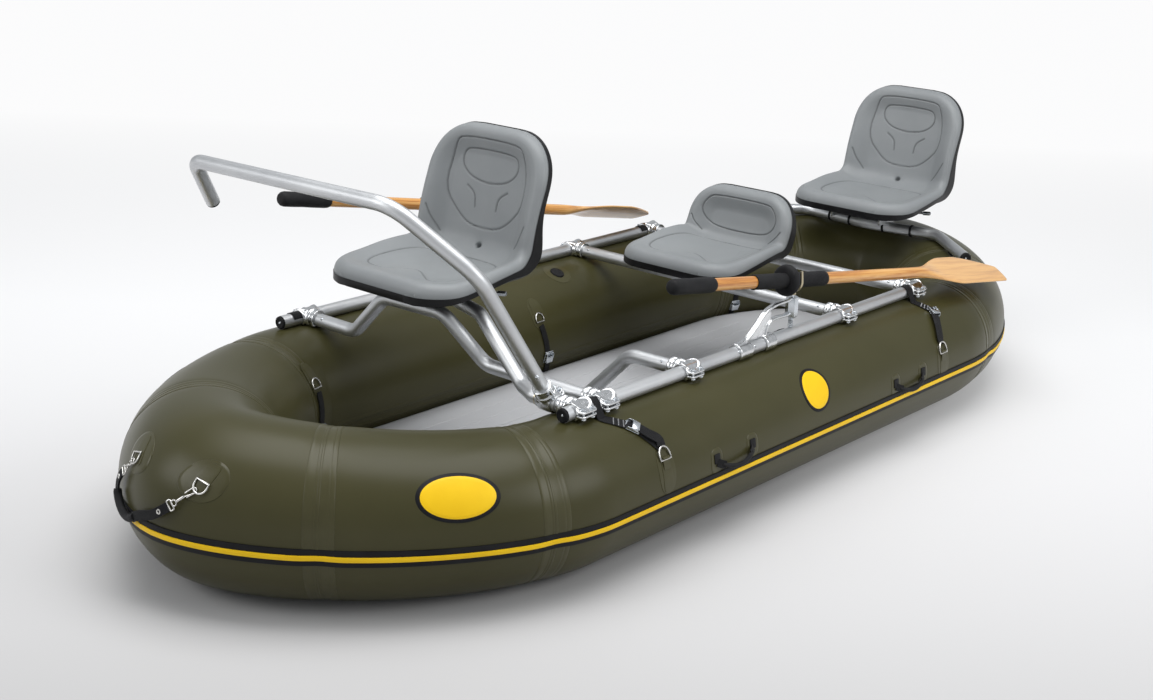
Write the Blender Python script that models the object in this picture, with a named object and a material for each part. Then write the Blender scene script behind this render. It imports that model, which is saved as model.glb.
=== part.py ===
"""Fishing raft: air cells, floor, aluminium frame, swivel seats, casting brace and oars.

Metres. +X points to the bow, +Y to port, +Z up. The origin lies on the ground
under the middle of the raft. Run with: blender --background --python part.py
"""
import math

import bmesh
import bpy
from mathutils import Matrix, Vector

NAME = "fishing_raft"
GAP = 0.0003                # clearance between pieces that touch
OVERRUN = 0.004             # how far a cutter passes through what it cuts

# Air tube: a round tube that runs all the way round, upswept in girth at both ends
HALF_BEAM = 0.513           # from the middle to the centreline of a side
TUBE_R = 0.1915
NOSE_SWELL_SHARE = 0.12
TAIL_SWELL_SHARE = 0.09
BOW_START = 0.907           # where the side begins to curve in
BOW_REACH = 0.613
BOW_POWER = 1.57
STERN_START = -0.857
STERN_REACH = 0.668
STERN_POWER = 1.82
BOW_SPLIT = 0.800           # bulkheads between the four air cells
STERN_SPLIT = -0.800
QUARTER_STEPS = 9
TUBE_SIDES = 32

# Floor: an inflatable panel with round edges, nested under the tube
FLOOR_THICK = 0.075
FLOOR_TOP = 0.090

# Rub strake round the outside, with a stripe set on its middle
STRAKE_ANGLE = math.radians(-7.0)
STRAKE_WIDTH = 0.040
STRAKE_THICK = 0.003
STRIPE_WIDTH = 0.0125
STRIPE_THICK = 0.0012

# Frame tube and its cast tees
PIPE_R = 0.01905
RAIL_Y = 0.528
RAIL_FRONT = 0.907
RAIL_BACK = -0.756
PLUG_LIP_R = 0.0186
PLUG_LIP = 0.007
TEE_WALL = 0.006
TEE_SIDES = 16
TEE_LENGTH = 0.066
TEE_REACH = 0.052
TEE_EAR = 0.022
TEE_EAR_THICK = 0.020
TEE_SLOT = 0.003
BOLT_R = 0.003
BOLT_HEAD_R = 0.0065
BOLT_HEAD = 0.004
BOLT_SPREAD = 0.040
CROSSBAR_XS = (-0.350, -0.756)
BEND_R = 0.060
BEND_STEP = math.radians(12.0)      # turn between two points of a bend

# Front seat frame
SEAT_PIPE_Z = 0.525
FRONT_SEAT_X = 0.718
FRONT_SEAT_Y = -0.120
CROSSTUBE_NEAR_X = 0.761
CROSSTUBE_FAR_X = 0.812
CROSSTUBE_FOOT_NEAR_Y = 0.130
CROSSTUBE_TOP_NEAR_Y = 0.010
CROSSTUBE_TOP_FAR_Y = -0.205
CROSSTUBE_FOOT_FAR_Y = -0.325
BRACE_X = 0.852
STRUT_END = (0.648, -0.170)
STRUT_TOP = (0.735, 0.080)
STRUT_FOOT = (0.815, 0.310)
STRUT_BEND_Y = 0.380
COUPLER_R = 0.0225
COUPLER_Y = 0.434
COUPLER_LENGTH = 0.064

# Casting brace: one leg and a lean bar, tilted forward
BRACE_TILT = math.radians(35.0)
BRACE_TEE_LENGTH = 0.044
BRACE_TEE_WALL = 0.0045
BRACE_LEG_IN = 0.009        # how far the leg leans in along its straight
BRACE_LEG = 0.440
BRACE_TOP_Y = 0.250
BRACE_TOP = 0.632
BRACE_END_Y = -0.500
BRACE_END = 0.618
BRACE_TIP_Y = -0.545
BRACE_TIP = 0.460
BRACE_BEND_R = 0.120
BRACE_TIP_BEND_R = 0.050

# Foot brace in front of the rower
FOOT_X = 0.410
FOOT_HUMP = (0.335, 0.398)
FOOT_END = (0.060, 0.119)

# Seats
PLATE_THICK = 0.004
FRONT_PLATE = (0.188, 0.202)
SWIVEL_R = 0.075
SWIVEL_HUB_R = 0.022
SWIVEL_PLATE = 0.170
SEAT_W = 0.480
SEAT_BACK_TOP_W = 0.330
SEAT_D = 0.468
HIGH_SEAT_H = 0.405
LOW_SEAT_H = 0.222
LOW_SEAT_W = 0.440
SEAT_WING = 0.046
CUSHION_THICK = 0.036
SHELL_THICK = 0.004
SEAT_FOOT_R = 0.012
SEAT_FOOT_SPREAD = 0.060
ROWER_SEAT_X = -0.410
ROWER_SEAT_Y = -0.030
ROWER_BAR = (0.230, 0.180)
ROWER_BAR_X = -0.400
REAR_SEAT_BACK = 0.023      # seat's axis behind the middle of its frame
REAR_SEAT_Y = -0.010
REAR_BRACKET = (0.190, 0.200, 0.022)
LEVER_LENGTH = 0.115
LEVER_R = 0.004
LEVER_KNOB_R = 0.007

# Rear seat frame, a C of tube on rubber pads, placed ahead of the tip of the stern's centreline
STERN_TIP_X = STERN_START - STERN_REACH
REAR_LEG_END = (STERN_TIP_X + 0.355, 0.490)
REAR_CORNER = (STERN_TIP_X + 0.140, 0.265)
REAR_MIDDLE_X = STERN_TIP_X + 0.173
REAR_SEAT_X = REAR_MIDDLE_X - REAR_SEAT_BACK
REAR_BEND_R = 0.075
PAD_R = 0.0265
PAD_LENGTH = 0.034
PAD_STATION_SHARE = 0.42

# Oars and their locks
LOCK_X = -0.072
STAND_REACH = 0.244         # from the socket to the middle of the wing brace's foot
STAND_PLATE = 0.010
FOOT_SADDLE = (0.239, 0.060)        # ahead of the socket, and length along the rail
WEB_SADDLE = (0.119, 0.050)
SOCKET_R = 0.011
SOCKET_TOP = 0.511
SOCKET_BOTTOM = 0.452
LOCK_WIRE_R = 0.0055
LOCK_PIN_R = 0.0050         # a little slimmer than the horns that it carries
LOCK_CLEAR = 0.0012
LOCK_HORN = 0.030
OAR_TILT = math.radians(12.0)       # how far the port oar tilts in its lock
COLLAR_CLEAR = 0.001        # between the stand's arm and the collar of the tilted oar
OAR_LENGTH = 1.676
OAR_R = 0.0175
GRIP_LENGTH = 0.150
GRIP_R = 0.0215
SLEEVE_R = 0.0215
SLEEVE_LENGTH = 0.335
COLLAR_R = 0.045
COLLAR_LENGTH = 0.026
BLADE_LENGTH = 0.480
BLADE_WIDTH = 0.150
BLADE_THICK = 0.010
BLADE_ROLL = math.radians(25.0)
PORT_OAR_Z = 0.559
PORT_OAR_PITCH = math.radians(7.9)
PORT_OAR_YAW = math.radians(3.0)
PORT_OAR_INBOARD = 0.545    # from the lock to the grip's end
STAR_OAR_Z = 0.585
STAR_OAR_PITCH = math.radians(10.15)
STAR_OAR_INBOARD = 0.990
PORT_COLLAR = 0.022         # collar ahead of the lock
STAR_COLLAR = 0.270

# Straps, rings and handles
WEB = 0.0018
STRAP_WIDTH = 0.022
RING_DEPTH = 0.030
BUCKLE = (0.036, 0.034, 0.010)
HANDLE_RISE = 0.034
HANDLE_LENGTH = 0.158
HANDLE_END_R = 0.004
HANDLE_GRIP_R = 0.010
FRONT_RING = (0.700, 31.0)          # station along X, and degrees above the equator
REAR_RING = (-0.680, 23.0)
FRONT_BUCKLE = (0.749, 57.0)
REAR_BUCKLE = (-0.735, 56.0)
STRAP_WRAP = range(150, 19, -26)    # degrees round the rail, from its far side to its near side
STRAP_LANDING = 76.0        # degrees above the equator where a strap comes down on the skin
STRAP_STEPS = 6
FRONT_HANDLE = (0.418, 7.0)
REAR_HANDLE = (-0.475, 5.0)


def clear_scene():
    for obj in list(bpy.data.objects):
        bpy.data.objects.remove(obj, do_unlink=True)


def collection(name):
    group = bpy.data.collections.new(name)
    bpy.context.scene.collection.children.link(group)
    return group


def material(name, rgb, roughness, metallic=0.0):
    mat = bpy.data.materials.new(name)
    mat.use_nodes = True
    shader = mat.node_tree.nodes["Principled BSDF"]
    shader.inputs["Base Color"].default_value = (*rgb, 1.0)
    shader.inputs["Roughness"].default_value = roughness
    shader.inputs["Metallic"].default_value = metallic
    return mat


clear_scene()
PARTS = collection(NAME)
OLIVE = material("olive_skin", (0.070, 0.068, 0.030), 0.42)
FLOOR_GREY = material("floor_grey", (0.42, 0.43, 0.44), 0.55)
BLACK = material("black_rubber", (0.015, 0.015, 0.015), 0.6)
YELLOW = material("yellow_stripe", (0.90, 0.56, 0.01), 0.45)
ALUMINIUM = material("satin_aluminium", (0.62, 0.63, 0.64), 0.35, 1.0)
CAST = material("cast_aluminium", (0.58, 0.59, 0.60), 0.45, 1.0)
STEEL = material("bright_steel", (0.60, 0.60, 0.60), 0.25, 1.0)
SEAT_GREY = material("seat_grey", (0.26, 0.28, 0.29), 0.5)
SHELL_BLACK = material("black_plastic", (0.012, 0.012, 0.013), 0.45)
WOOD = material("honey_wood", (0.62, 0.34, 0.12), 0.35)
WEBBING = material("black_webbing", (0.012, 0.012, 0.012), 0.8)


def keep(obj, name, mat, home=None):
    """Name an object, give it its material and put it in its collection."""
    obj.name = name
    obj.data.name = name
    obj.data.materials.clear()
    obj.data.materials.append(mat)
    for group in list(obj.users_collection):
        group.objects.unlink(obj)
    (home or PARTS).objects.link(obj)
    return obj


def from_bmesh(mesh, name, mat):
    bmesh.ops.recalc_face_normals(mesh, faces=mesh.faces)
    data = bpy.data.meshes.new(name)
    mesh.to_mesh(data)
    mesh.free()
    data.shade_smooth()
    data.set_sharp_from_angle(angle=math.radians(35.0))
    obj = bpy.data.objects.new(name, data)
    return keep(obj, name, mat)


def baked(obj):
    """Turn an object with its modifiers, or a curve, into a welded plain mesh."""
    graph = bpy.context.evaluated_depsgraph_get()
    graph.update()
    data = bpy.data.meshes.new_from_object(obj.evaluated_get(graph))
    data.transform(obj.matrix_world)
    bpy.data.objects.remove(obj, do_unlink=True)
    mesh = bmesh.new()
    mesh.from_mesh(data)
    bmesh.ops.remove_doubles(mesh, verts=mesh.verts, dist=0.00002)
    bpy.data.meshes.remove(data)
    return mesh


def moved(mesh, matrix):
    """A copy of a bmesh, placed by a matrix."""
    copy = mesh.copy()
    bmesh.ops.transform(copy, matrix=matrix, verts=copy.verts)
    return copy


def join(base, tool, operation):
    """One Boolean between two bmeshes; both are used up."""
    first = from_bmesh(base, "base", CAST)
    second = from_bmesh(tool, "tool", CAST)
    step = first.modifiers.new("step", "BOOLEAN")
    step.object = second
    step.operation = operation
    step.solver = "EXACT"
    result = baked(first)
    bpy.data.objects.remove(second, do_unlink=True)
    return result


def frame_between(start, end):
    """A matrix whose Z runs from start to end, with its origin half way."""
    start = Vector(start)
    along = Vector(end) - start
    turn = Vector((0, 0, 1)).rotation_difference(along.normalized())
    return Matrix.Translation(start + along / 2) @ turn.to_matrix().to_4x4()


def rod(start, end, radius, sides=12, end_radius=None):
    mesh = bmesh.new()
    bmesh.ops.create_cone(
        mesh, cap_ends=True, segments=sides, radius1=radius,
        radius2=radius if end_radius is None else end_radius,
        depth=(Vector(end) - Vector(start)).length, matrix=frame_between(start, end))
    return mesh


def bore_for(radius, sides):
    """Radius of a faceted bore that clears a round piece at its flats."""
    return (radius + GAP) / math.cos(math.pi / sides)


def block(size, centre, turn=None):
    mesh = bmesh.new()
    place = Matrix.Translation(centre) @ (turn or Matrix.Identity(4))
    bmesh.ops.create_cube(mesh, size=1.0, matrix=place @ Matrix.Diagonal((*size, 1.0)))
    return mesh


def rounded(corners, radii):
    """A polyline with its inner corners rounded to the given radii."""
    points = [Vector(corners[0])]
    for index in range(1, len(corners) - 1):
        corner = Vector(corners[index])
        back = (Vector(corners[index - 1]) - corner).normalized()
        ahead = (Vector(corners[index + 1]) - corner).normalized()
        radius = radii[index - 1] if isinstance(radii, (list, tuple)) else radii
        half = back.angle(ahead) / 2
        centre = corner + (back + ahead).normalized() * (radius / math.sin(half))
        first = corner + back * (radius / math.tan(half)) - centre
        sweep = math.pi - 2 * half
        axis = back.cross(ahead).normalized()
        steps = max(2, round(sweep / BEND_STEP))
        for step in range(steps + 1):
            turn = Matrix.Rotation(-sweep * step / steps, 3, axis)
            points.append(centre + turn @ first)
    points.append(Vector(corners[-1]))
    return points


def tube_curve(points, radius, resolution=4, factors=None, twist="Z_UP"):
    """A round tube along a polyline, as a curve object. An upright line needs twist MINIMUM."""
    data = bpy.data.curves.new("tube", "CURVE")
    data.dimensions = "3D"
    data.bevel_depth = radius
    data.bevel_resolution = resolution
    data.use_fill_caps = True
    data.twist_mode = twist
    spline = data.splines.new("POLY")
    spline.points.add(len(points) - 1)
    for index, (target, place) in enumerate(zip(spline.points, points)):
        target.co = (*place, 1.0)
        target.radius = factors[index] if factors else 1.0
    obj = bpy.data.objects.new("tube", data)
    PARTS.objects.link(obj)
    return obj


def tube(name, points, radius, mat):
    return keep(tube_curve(points, radius), name, mat)


def grid_solid(rows, columns, top, bottom):
    """A closed loft between two sheets of points, given as functions of row and column."""
    mesh = bmesh.new()
    sheets = []
    for place in (top, bottom):
        sheets.append([[mesh.verts.new(place(r / rows, c / columns)) for c in range(columns + 1)]
                       for r in range(rows + 1)])
    for sheet in sheets:
        for r in range(rows):
            for c in range(columns):
                mesh.faces.new((sheet[r][c], sheet[r + 1][c], sheet[r + 1][c + 1], sheet[r][c + 1]))
    upper, lower = sheets
    rim = [(0, c) for c in range(columns)] + [(r, columns) for r in range(rows)]
    rim += [(rows, c) for c in range(columns, 0, -1)] + [(r, 0) for r in range(rows, 0, -1)]
    for (r0, c0), (r1, c1) in zip(rim, rim[1:] + rim[:1]):
        mesh.faces.new((upper[r0][c0], upper[r1][c1], lower[r1][c1], lower[r0][c0]))
    return mesh


def strip(points, across, width, thick):
    """Flat webbing along a polyline; across gives the direction of its width."""
    points = [Vector(point) for point in points]
    across = Vector(across).normalized()
    normals = []
    for index in range(len(points)):
        ahead = points[min(index + 1, len(points) - 1)] - points[max(index - 1, 0)]
        normals.append(across.cross(ahead).normalized())
    last = len(points) - 1

    def sheet(lift):
        def place(row, column):
            index = round(row * last)
            side = across * (width * (column - 0.5))
            return points[index] + side + normals[index] * lift
        return place
    return grid_solid(last, 1, sheet(thick / 2), sheet(-thick / 2))


# The air tube's centreline

FLAT_SHARE = math.cos(math.pi / TUBE_SIDES)


def swell(share, part):
    return TUBE_R * (1.0 + share * part * part)


def side_point(x):
    """Centre and radius of the port side's tube at a station along X, its flats on the ground."""
    if x > BOW_START:
        part = min((x - BOW_START) / BOW_REACH, 1.0)
        y = HALF_BEAM * (1.0 - part ** BOW_POWER) ** (1.0 / BOW_POWER)
        radius = swell(NOSE_SWELL_SHARE, part)
    elif x < STERN_START:
        part = min((STERN_START - x) / STERN_REACH, 1.0)
        y = HALF_BEAM * (1.0 - part ** STERN_POWER) ** (1.0 / STERN_POWER)
        radius = swell(TAIL_SWELL_SHARE, part)
    else:
        y = HALF_BEAM
        radius = TUBE_R
    return Vector((x, y, radius * FLAT_SHARE)), radius


def quarter(start, reach, power, sign):
    """Stations along X through one end's quarter, even in angle."""
    xs = []
    for step in range(1, QUARTER_STEPS + 1):
        angle = math.pi / 2 * step / QUARTER_STEPS
        xs.append(start + sign * reach * math.sin(angle) ** (2.0 / power))
    return xs


BOW_XS = [BOW_SPLIT, BOW_START] + quarter(BOW_START, BOW_REACH, BOW_POWER, 1)
STERN_XS = [STERN_SPLIT, STERN_START] + quarter(STERN_START, STERN_REACH, STERN_POWER, -1)


def outward_at(x, side):
    """Level direction out of the raft at a station, and the tube's centre and radius."""
    step = 0.002 * BOW_REACH
    centre, radius = side_point(x)
    ahead = side_point(min(x + step, BOW_START + BOW_REACH))[0]
    behind = side_point(max(x - step, STERN_START - STERN_REACH))[0]
    along = ahead - behind
    out = Vector((-along.y, along.x, 0.0)).normalized()
    return Vector((centre.x, side * centre.y, centre.z)), Vector((out.x, side * out.y, 0.0)), radius


def on_tube(x, side, angle, lift=0.0):
    """A point on the air tube's skin, by its station, side and angle above the equator."""
    centre, out, radius = outward_at(x, side)
    reach = radius + lift
    return centre + out * (reach * math.cos(angle)) + Vector((0, 0, reach * math.sin(angle)))


def air_cell(name, stations):
    """Loft of round sections along the tube, from one bulkhead to the next."""
    mesh = bmesh.new()
    rings = []
    for x, side in stations:
        centre, out, radius = skin_frame(x, side)
        ring = []
        for step in range(TUBE_SIDES):
            angle = 2 * math.pi * (step + 0.5) / TUBE_SIDES
            reach = out * (radius * math.cos(angle))
            ring.append(mesh.verts.new(centre + reach + Vector((0, 0, radius * math.sin(angle)))))
        rings.append(ring)
    for ring, following in zip(rings, rings[1:]):
        for step in range(TUBE_SIDES):
            beyond = (step + 1) % TUBE_SIDES
            mesh.faces.new((ring[step], ring[beyond], following[beyond], following[step]))
    mesh.faces.new(rings[0])
    mesh.faces.new(rings[-1])
    from_bmesh(mesh, name, OLIVE)


def air_cells():
    bow = [(x, 1) for x in BOW_XS] + [(x, -1) for x in reversed(BOW_XS[:-1])]
    stern = [(x, 1) for x in STERN_XS] + [(x, -1) for x in reversed(STERN_XS[:-1])]
    air_cell("bow_cell", bow)
    air_cell("stern_cell", stern)
    for name, side in (("port_cell", 1), ("starboard_cell", -1)):
        air_cell(name, [(BOW_SPLIT - GAP, side), (STERN_SPLIT + GAP, side)])


def full_loop():
    """Every station round the raft as (x, side)."""
    port = [(x, 1) for x in reversed(BOW_XS)] + [(x, 1) for x in STERN_XS]
    star = [(x, -1) for x in reversed(STERN_XS[:-1])] + [(x, -1) for x in BOW_XS[:-1]]
    return port + star


def skin_frame(x, side):
    """As outward_at, with the two tips pointing straight fore and aft."""
    centre, out, radius = outward_at(x, side)
    if x >= BOW_START + BOW_REACH:
        out = Vector((1, 0, 0))
    if x <= STERN_START - STERN_REACH:
        out = Vector((-1, 0, 0))
    return centre, out, radius


def band(name, width, lift, thick, columns, mat):
    """A closed band round the outside of the whole tube."""
    loop = full_loop()
    mesh = bmesh.new()
    rings = []
    for x, side in loop:
        centre, out, radius = skin_frame(x, side)
        ring = []
        half = width / 2 / TUBE_R
        angles = [STRAKE_ANGLE - half + 2 * half * c / columns for c in range(columns + 1)]
        for reach, order in ((radius + lift + thick, angles), (radius + lift, angles[::-1])):
            for angle in order:
                spot = centre + out * (reach * math.cos(angle))
                ring.append(mesh.verts.new(spot + Vector((0, 0, reach * math.sin(angle)))))
        rings.append(ring)
    count = len(rings[0])
    for ring, following in zip(rings, rings[1:] + rings[:1]):
        for index in range(count):
            beyond = (index + 1) % count
            mesh.faces.new((ring[index], ring[beyond], following[beyond], following[index]))
    return from_bmesh(mesh, name, mat)


def rub_strake():
    band("rub_strake", STRAKE_WIDTH, 2 * GAP, STRAKE_THICK, 3, BLACK)
    band("rub_strake_stripe", STRIPE_WIDTH, 4 * GAP + STRAKE_THICK, STRIPE_THICK, 1, YELLOW)


def floor_panel():
    """Slab with round edges whose rim touches the tube all the way round."""
    edge_r = FLOOR_THICK / 2
    mid_z = FLOOR_TOP - edge_r
    outline = []
    centres = [skin_frame(x, side) for x, side in full_loop()]
    for centre, out, radius in centres:
        inward = math.sqrt((radius * FLAT_SHARE + edge_r + 2 * GAP) ** 2 - (radius - mid_z) ** 2)
        spot = centre - out * inward
        near = min((Vector((c.x - spot.x, c.y - spot.y, 0))).length for c, o, r in centres)
        if near > inward * 0.995:
            outline.append(spot)
    data = bpy.data.curves.new("floor", "CURVE")
    data.dimensions = "2D"
    data.fill_mode = "BOTH"
    data.bevel_depth = edge_r - OVERRUN
    data.extrude = OVERRUN
    data.bevel_resolution = 2
    spline = data.splines.new("POLY")
    spline.points.add(len(outline) - 1)
    spline.use_cyclic_u = True
    for target, spot in zip(spline.points, outline):
        target.co = (spot.x, spot.y, 0.0, 1.0)
    obj = bpy.data.objects.new("floor_panel", data)
    obj.location = (0, 0, mid_z)
    PARTS.objects.link(obj)
    keep(obj, "floor_panel", FLOOR_GREY)


# Frame

RAIL_Z = 2 * TUBE_R * FLAT_SHARE + PIPE_R + GAP      # the crossbars pass just over the tube's crown


def plugged(mesh, ends):
    """Close a tube with plugs that stand out of its ends."""
    for end, direction in ends:
        end = Vector(end)
        direction = Vector(direction).normalized()
        lip = rod(end - direction * OVERRUN, end + direction * PLUG_LIP, PLUG_LIP_R, 12)
        mesh = join(mesh, lip, "UNION")
    return mesh


def rails():
    back = RAIL_BACK - TEE_LENGTH / 2
    for name, side in (("port_rail", 1), ("starboard_rail", -1)):
        ends = [(back, side * RAIL_Y, RAIL_Z), (RAIL_FRONT, side * RAIL_Y, RAIL_Z)]
        mesh = plugged(baked(tube_curve(ends, PIPE_R)), zip(ends, ((-1, 0, 0), (1, 0, 0))))
        from_bmesh(mesh, name, ALUMINIUM)


def crossbars():
    reach = RAIL_Y - PIPE_R - TEE_WALL
    for name, x in zip(("front_crossbar", "rear_crossbar"), CROSSBAR_XS):
        tube(name, [(x, -reach, RAIL_Z), (x, reach, RAIL_Z)], PIPE_R, ALUMINIUM)


def tee(bore_r, length, reach, wall, socket_way, drop):
    """Split casting on a rail along X, with a socket to one side and two ears along +Y."""
    socket_way = Vector(socket_way)
    outer = bore_r + GAP + wall
    body = rod((-length / 2, 0, 0), (length / 2, 0, 0), outer, TEE_SIDES)
    socket = rod((0, 0, 0), socket_way * reach, PIPE_R + GAP + wall, TEE_SIDES)
    body = join(body, socket, "UNION")
    ear = block((length, TEE_EAR + wall, TEE_EAR_THICK),
                (0, bore_r + (TEE_EAR + wall) / 2, 0))
    body = join(body, ear, "UNION")
    past = length / 2 + OVERRUN
    bore = rod((-past, 0, 0), (past, 0, 0), bore_for(bore_r, TEE_SIDES), TEE_SIDES)
    body = join(body, bore, "DIFFERENCE")
    bottom = socket_way * (bore_r + wall - 2 * GAP)
    seat = rod(bottom, socket_way * (reach + OVERRUN), bore_for(PIPE_R, TEE_SIDES), TEE_SIDES)
    body = join(body, seat, "DIFFERENCE")
    slot = block((length + 2 * OVERRUN, TEE_EAR + 2 * wall, TEE_SLOT),
                 (0, bore_r + TEE_EAR / 2 + wall, 0))
    body = join(body, slot, "DIFFERENCE")
    for part in (-0.5, 0.5):
        spot = (part * BOLT_SPREAD * length / TEE_LENGTH, bore_r + wall + TEE_EAR / 2, 0)
        body = join(body, bolt(spot, TEE_EAR_THICK), "UNION")
    if drop:
        depth = outer
        base = block((length + 2 * OVERRUN, 2 * (reach + OVERRUN), depth),
                     (0, 0, -bore_r + OVERRUN - depth / 2))
        body = join(body, base, "DIFFERENCE")
    return body


def bolt(centre, grip):
    """Upright hex bolt: head, shank and nut in one piece."""
    centre = Vector(centre)
    half = Vector((0, 0, grip / 2))
    head = Vector((0, 0, BOLT_HEAD))
    mesh = rod(centre - half, centre + half, BOLT_R, 6)
    for end in (half, -half):
        way = head if end.z > 0 else -head
        mesh = join(mesh, rod(centre + end * 0.98, centre + end + way, BOLT_HEAD_R, 6), "UNION")
    return mesh


def tees():
    """Each rail tee, by name, station and side."""
    places = {
        "front_crossbar_port_tee": (CROSSBAR_XS[0], 1),
        "front_crossbar_starboard_tee": (CROSSBAR_XS[0], -1),
        "rear_crossbar_port_tee": (CROSSBAR_XS[1], 1),
        "rear_crossbar_starboard_tee": (CROSSBAR_XS[1], -1),
        "seat_strut_tee": (BRACE_X, 1),
        "seat_crosstube_port_tee": (CROSSTUBE_NEAR_X, 1),
        "seat_crosstube_starboard_tee": (CROSSTUBE_FAR_X, -1),
        "foot_brace_tee": (FOOT_X, 1)}
    pattern = tee(PIPE_R, TEE_LENGTH, TEE_REACH, TEE_WALL, (0, -1, 0), True)
    for name, (x, side) in places.items():
        turn = Matrix.Rotation(0.0 if side > 0 else math.pi, 4, "Z")
        place = Matrix.Translation((x, side * RAIL_Y, RAIL_Z)) @ turn
        from_bmesh(moved(pattern, place), name, CAST)
    pattern.free()


SOCKET_MOUTH_Y = RAIL_Y - PIPE_R - TEE_WALL


def seat_crosstube():
    """Tube from rail to rail with a raised run that carries the front seat."""
    points = rounded([
        (CROSSTUBE_NEAR_X, SOCKET_MOUTH_Y, RAIL_Z),
        (CROSSTUBE_NEAR_X, CROSSTUBE_FOOT_NEAR_Y, RAIL_Z),
        (CROSSTUBE_FAR_X - PIPE_R / 2, CROSSTUBE_TOP_NEAR_Y, SEAT_PIPE_Z),
        (CROSSTUBE_FAR_X, CROSSTUBE_TOP_FAR_Y, SEAT_PIPE_Z),
        (CROSSTUBE_FAR_X, CROSSTUBE_FOOT_FAR_Y, RAIL_Z),
        (CROSSTUBE_FAR_X, -SOCKET_MOUTH_Y, RAIL_Z)], BEND_R)
    tube("seat_crosstube", points, PIPE_R, ALUMINIUM)


def seat_strut():
    """Second tube, from under the seat plate down to its own tee on the port rail."""
    points = rounded([
        (*STRUT_END, SEAT_PIPE_Z), (*STRUT_TOP, SEAT_PIPE_Z), (*STRUT_FOOT, RAIL_Z),
        (BRACE_X, STRUT_BEND_Y, RAIL_Z), (BRACE_X, SOCKET_MOUTH_Y, RAIL_Z)],
        [BEND_R, BEND_R, BEND_R / 3])
    tube("seat_strut", points, PIPE_R, ALUMINIUM)


def ring(start, end, outer_r, inner_r, sides=16):
    """Sleeve between two points."""
    start = Vector(start)
    end = Vector(end)
    over = (end - start).normalized() * OVERRUN
    body = rod(start, end, outer_r, sides)
    return join(body, rod(start - over, end + over, inner_r, sides), "DIFFERENCE")


def brace_coupler():
    """Sleeve on the strut's foot that the casting brace turns on."""
    half = COUPLER_LENGTH / 2
    mesh = ring((BRACE_X, COUPLER_Y - half, RAIL_Z), (BRACE_X, COUPLER_Y + half, RAIL_Z),
                COUPLER_R, bore_for(PIPE_R, 20), 20)
    from_bmesh(mesh, "brace_coupler", CAST)


def brace_matrix():
    """Brace plane: local X to starboard's opposite, local Z up the tilted leg."""
    turn = Matrix.Rotation(BRACE_TILT, 4, "Y")
    return Matrix.Translation((BRACE_X, COUPLER_Y, RAIL_Z)) @ turn


def casting_brace():
    """One bent bar in a tilted plane, its foot in a casting that turns on the coupler."""
    hub = bpy.data.objects.new("casting_brace_axis", None)
    hub.matrix_world = brace_matrix()
    PARTS.objects.link(hub)
    foot = COUPLER_R + TEE_WALL
    path = rounded([
        (0, 0, foot), (0, 0, TEE_REACH + COUPLER_R), (0, -BRACE_LEG_IN, BRACE_LEG),
        (0, BRACE_TOP_Y - COUPLER_Y, BRACE_TOP),
        (0, BRACE_END_Y - COUPLER_Y, BRACE_END), (0, BRACE_TIP_Y - COUPLER_Y, BRACE_TIP)],
        [BEND_R, BRACE_BEND_R, BRACE_BEND_R, BRACE_TIP_BEND_R])
    tip = Vector(path[-1])
    bar = baked(tube_curve(path, PIPE_R, twist="MINIMUM"))
    mesh = plugged(bar, [(tip, tip - Vector(path[-2]))])
    from_bmesh(mesh, "casting_brace", ALUMINIUM).parent = hub
    pattern = tee(COUPLER_R, BRACE_TEE_LENGTH, TEE_REACH + COUPLER_R - PIPE_R,
                  BRACE_TEE_WALL, (0, 0, 1), False)
    ears_aft = Matrix.Rotation(math.pi / 2, 4, "Z")
    clamp = from_bmesh(moved(pattern, ears_aft), "casting_brace_clamp", CAST)
    pattern.free()
    clamp.parent = hub


def foot_brace():
    """Bar from the port rail down towards the floor, for the rower's feet."""
    points = rounded([
        (FOOT_X, SOCKET_MOUTH_Y, RAIL_Z), (FOOT_X, *FOOT_HUMP), (FOOT_X, *FOOT_END)], BEND_R)
    mesh = plugged(baked(tube_curve(points, PIPE_R)), [(points[-1], points[-1] - points[-2])])
    from_bmesh(mesh, "foot_brace", ALUMINIUM)


# Rear seat frame

def tube_top(x, y):
    """Height of the air tube's skin above a point of the ground."""
    best = 0.0
    for step in range(200):
        station = STERN_START - STERN_REACH * math.sin(math.pi / 2 * step / 199)
        centre, radius = side_point(station)
        away = math.hypot(centre.x - x, centre.y - abs(y))
        if away < radius:
            best = max(best, centre.z + math.sqrt(radius ** 2 - away ** 2))
    return best


def pad_centre(side):
    start = Vector((REAR_LEG_END[0], side * REAR_LEG_END[1], 0))
    end = Vector((REAR_CORNER[0], side * REAR_CORNER[1], 0))
    return start.lerp(end, PAD_STATION_SHARE), (end - start).normalized()


def rear_route():
    """Plan of the frame, from the port leg round its back to the starboard one."""
    leg = REAR_LEG_END
    corner = REAR_CORNER
    return rounded([
        (*leg, 0), (*corner, 0), (REAR_MIDDLE_X, 0, 0), (corner[0], -corner[1], 0), (leg[0], -leg[1], 0)],
        [REAR_BEND_R, REAR_BEND_R * 4, REAR_BEND_R])


def rear_height():
    """Height of the frame's axis: its pads lie on the skin, and its tube stays clear of it."""
    spot = pad_centre(1)[0]
    on_pads = tube_top(spot.x, spot.y) + PAD_R + 5 * GAP
    return max([on_pads] + [tube_top(place.x, place.y) + PIPE_R + GAP for place in rear_route()])


REAR_Z = rear_height()


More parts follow.
